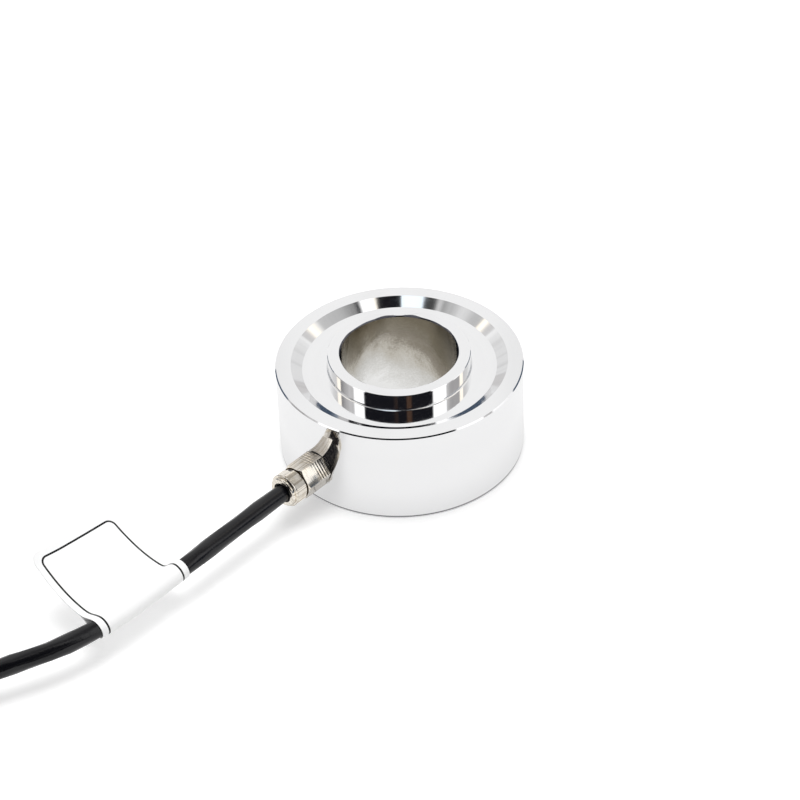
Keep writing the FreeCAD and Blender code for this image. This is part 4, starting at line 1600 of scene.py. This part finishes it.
def fill_ramp(node, stops):
    """Colour ramp from (degrees from -180 to 180, colour) stops."""
    ramp = node.color_ramp
    while len(ramp.elements) > 1:
        ramp.elements.remove(ramp.elements[-1])
    for index, (degrees, rgb) in enumerate(stops):
        place = (degrees + 180) / 360
        element = ramp.elements[0] if index == 0 else ramp.elements.new(place)
        element.position = place
        element.color = opaque(rgb)


def grey(level):
    return (level, level, level)


# What polished metal sees, by height: (up to this elevation, stops of bearing and shade).
# Bearings and elevations are in degrees; bearing 0 is the camera's side and 90 its right.
DARK = (0.008, 0.008, 0.011)
SOOT = (0.030, 0.030, 0.034)
UMBER = (0.030, 0.020, 0.018)
BROWN = (0.075, 0.042, 0.028)
SLATE = (0.07, 0.10, 0.15)
MIST = (0.28, 0.32, 0.38)
DIM = (0.22, 0.22, 0.23)
GREY = (0.44, 0.43, 0.43)
PALE = (0.64, 0.63, 0.63)
SOFT = grey(0.79)
WHITE = grey(1.40)
WARM = (1.36, 1.27, 1.12)
WALL = grey(0.955)
COOL = (1.12, 1.24, 1.34)
MIDDLE = ((-112, WARM), (-111, DIM), (-102, GREY), (-90, PALE), (-81, PALE), (-80, WHITE),
          (-61.5, WHITE), (-60.5, DARK), (-10.5, DARK), (-9.5, UMBER), (-5.5, UMBER), (-4.5, DARK),
          (9, DARK), (10, BROWN), (16.5, BROWN), (17.5, DARK), (53, DARK), (54, WHITE), (79, WHITE),
          (80, PALE), (90, GREY), (111, GREY), (112, WARM))
STUDIO = (
    (8.7, ((-155, PALE), (-149, SLATE), (-113, SLATE), (-101, MIST), (-96, PALE), (-81, PALE),
           (-79, DARK), (53, DARK), (54, WHITE), (66, WHITE), (68, SLATE), (150, SLATE),
           (156, PALE))),
    (18.0, ((-145, SOFT), (-140, SLATE), (-113, SLATE), (-101, MIST), (-96, PALE), (-81, PALE),
            (-79, DARK), (53, DARK), (54, WHITE), (66, WHITE), (68, SLATE), (138, SLATE),
            (144, SOFT))),
    (20.6, ((-138, SOFT), (-130, PALE), (-81, PALE), (-79, DARK), (20, DARK), (38, WHITE),
            (70, WHITE), (130, SOFT))),
    (31.0, ((-138, SOFT), (-130, PALE), (-124, GREY), (-96, GREY), (-88, PALE), (-76, PALE),
            (-75, WHITE), (-61, WHITE), (-60, DARK), (50, DARK), (51, WHITE), (70, WHITE), (130, SOFT))),
    (37.5, ((-150, WALL), (-138, SOFT), (-131, grey(0.85)), (-126, grey(1.05)), *MIDDLE,
            (127, grey(1.00)), (131, grey(0.83)), (138, SOFT), (150, WALL))),
    (45.5, ((-150, WALL), (-138, SOFT), (-123, PALE), (-121, WARM), *MIDDLE,
            (121, WARM), (123, PALE), (138, SOFT), (150, WALL))),
    (64.0, ((-136, WALL), (-130, WARM), (-121, WARM), (-117, grey(0.54)), (-111.5, grey(0.55)),
            (-108.5, grey(0.68)), (-105, SOFT), (-102, SOFT), (-98, grey(0.60)), (-92, grey(0.53)),
            (-87.5, grey(0.33)), (-84.5, grey(0.73)), (-82, PALE), (-80, DARK), (54, DARK), (56, WHITE),
            (77, WHITE), (78, DARK), (83, SOOT), (88, grey(0.36)), (95, grey(0.49)), (109, grey(0.58)),
            (112, grey(0.55)), (115, grey(0.85)), (118, WARM), (130, WARM), (136, WALL))),
    (90.0, ((-104, PALE), (-97, grey(0.58)), (-92, grey(0.53)), (-87.5, grey(0.33)),
            (-84.5, grey(0.73)), (-82, PALE), (-80, grey(0.22)), (-78, grey(0.06)), (-70, grey(0.055)),
            (-65, SOOT), (-63.5, COOL), (-14, COOL), (-12.5, DARK), (42, DARK), (53, SOOT),
            (56, WARM), (64, WHITE), (77, WHITE), (78, DARK), (81.5, SOOT), (83.5, grey(0.29)),
            (90, grey(0.38)), (100, GREY))),
)


# Half width of the soft line between two heights, in degrees, and how fast the panels' streaks follow
# each other round the studio
BAND_EDGE = 0.4
STREAKS = 22.0


def studio_panels(tree):
    """Colour that gloss sees in each direction, with a little unevenness in the panels."""
    x, y, z = split(tree, coordinates(tree, "Generated"))
    bearing = maths(tree, "ARCTAN2", x, maths(tree, "MULTIPLY", y, -1.0))
    place = scaled(tree, bearing, by=1 / math.tau, plus=0.5)
    seen = None
    below = None
    for elevation, stops in STUDIO:
        band = add_node(tree, "ShaderNodeValToRGB", {0: place})
        fill_ramp(band, stops)
        colour_here = band.outputs["Color"]
        if seen is None:
            seen = colour_here
        else:
            low, high = [math.sin(math.radians(below + off)) for off in (-BAND_EDGE, BAND_EDGE)]
            seen = blend_colours(tree, remap(tree, z, low, high), seen, colour_here)
        below = elevation
    streak = line_noise(tree, maths(tree, "MULTIPLY", bearing, STREAKS), detail=2.0)
    uneven = scaled(tree, streak, by=0.50, plus=0.75)
    return blend_colours(tree, uneven, (0, 0, 0), seen)


def build_world():
    """White for the camera, even light for matt surfaces, a studio's panels for gloss."""
    world = bpy.data.worlds.new("studio")
    bpy.context.scene.world = world
    world.use_nodes = True
    tree = world.node_tree
    tree.nodes.clear()
    backgrounds = []
    for tint, strength in ((opaque(grey(1)), settings("stage").sky), (studio_panels(tree), 1.0),
                           (opaque(grey(1)), 1.0)):
        node = add_node(tree, "ShaderNodeBackground", {"Color": tint, "Strength": strength})
        backgrounds.append(node.outputs[0])
    matt, gloss, white = backgrounds
    path = tree.nodes.new("ShaderNodeLightPath").outputs
    lit = add_node(tree, "ShaderNodeMixShader", {0: path["Is Glossy Ray"], 1: matt, 2: gloss})
    seen = add_node(tree, "ShaderNodeMixShader", {0: path["Is Camera Ray"], 1: lit.outputs[0], 2: white})
    add_node(tree, "ShaderNodeOutputWorld", {"Surface": seen.outputs[0]})


def build_floor():
    """Pale floor that shows white, keeps the shadows, and is a little darker in reflections."""
    stage = settings("stage")
    bm = bmesh.new()
    bmesh.ops.create_grid(bm, x_segments=1, y_segments=1, size=stage.floor_size / 2)
    floor = object_from(bm, "floor")
    material, tree, shader = new_material("pale_floor", stage.floor_colour, roughness=0.9)
    shader.inputs["Emission Color"].default_value = opaque(grey(1))
    path = tree.nodes.new("ShaderNodeLightPath").outputs
    glossy = path["Is Glossy Ray"]
    glow = maths(tree, "MULTIPLY", path["Is Camera Ray"], stage.floor_glow)
    glow = scaled(tree, glossy, by=stage.mirrored_glow, plus=glow)
    feed(tree, shader, Emission_Strength=glow,
         Base_Color=blend_colours(tree, glossy, stage.floor_colour, stage.mirrored_floor))
    floor.data.materials.append(material)


def build_lamp():
    """Square soft box almost above the ring, which gloss doesn't show."""
    stage = settings("stage")
    data = bpy.data.lights.new("soft_box", "AREA")
    data.shape = "SQUARE"
    data.size = stage.lamp_size
    data.energy = stage.lamp_power
    lamp = add_object("soft_box", data)
    lamp.location = stage.lamp_place
    lamp.visible_glossy = False
    lamp.visible_camera = False


class SENSOR_OT_stage(Operator):
    """Set up the pale floor, the soft light and the camera"""
    bl_idname = "sensor.stage"
    bl_label = "Studio"

    def execute(self, context):
        scene = context.scene
        stage = settings("stage")
        scene.view_settings.view_transform = "Standard"
        build_world()
        build_floor()
        build_lamp()
        data = bpy.data.cameras.new("camera")
        data.sensor_width = stage.sensor_width
        data.lens = stage.lens
        data.clip_start = stage.near_clip
        camera = add_object("camera", data)
        camera.matrix_world = camera_matrix()
        scene.camera = camera
        return {"FINISHED"}


class SENSOR_PT_panel(Panel):
    """Lists the sensor's pieces in the order in which they are built"""
    bl_label = "Ring force sensor"
    bl_idname = "SENSOR_PT_panel"
    bl_space_type = "VIEW_3D"
    bl_region_type = "UI"
    bl_category = "Ring Sensor"

    def draw(self, context):
        for operator in OPERATORS:
            self.layout.operator(operator.bl_idname)


OPERATORS = (
    SENSOR_OT_effects,
    SENSOR_OT_stage,
    SENSOR_OT_ring,
    SENSOR_OT_cover,
    SENSOR_OT_gland,
    SENSOR_OT_cable,
    SENSOR_OT_straps,
    SENSOR_OT_label,
    SENSOR_OT_far_end,
    SENSOR_OT_inside,
    SENSOR_OT_cord,
)


def register():
    for name, group in GROUPS.items():
        bpy.utils.register_class(group)
        setattr(bpy.types.Scene, "sensor_" + name, PointerProperty(type=group))
    for cls in (*OPERATORS, SENSOR_PT_panel):
        bpy.utils.register_class(cls)


def unregister():
    for cls in reversed((*OPERATORS, SENSOR_PT_panel)):
        bpy.utils.unregister_class(cls)
    for name, group in reversed(GROUPS.items()):
        delattr(bpy.types.Scene, "sensor_" + name)
        bpy.utils.unregister_class(group)


def main():
    register()
    for operator in OPERATORS:
        group, name = operator.bl_idname.split(".")
        getattr(getattr(bpy.ops, group), name)()


if __name__ == "__main__":
    main()
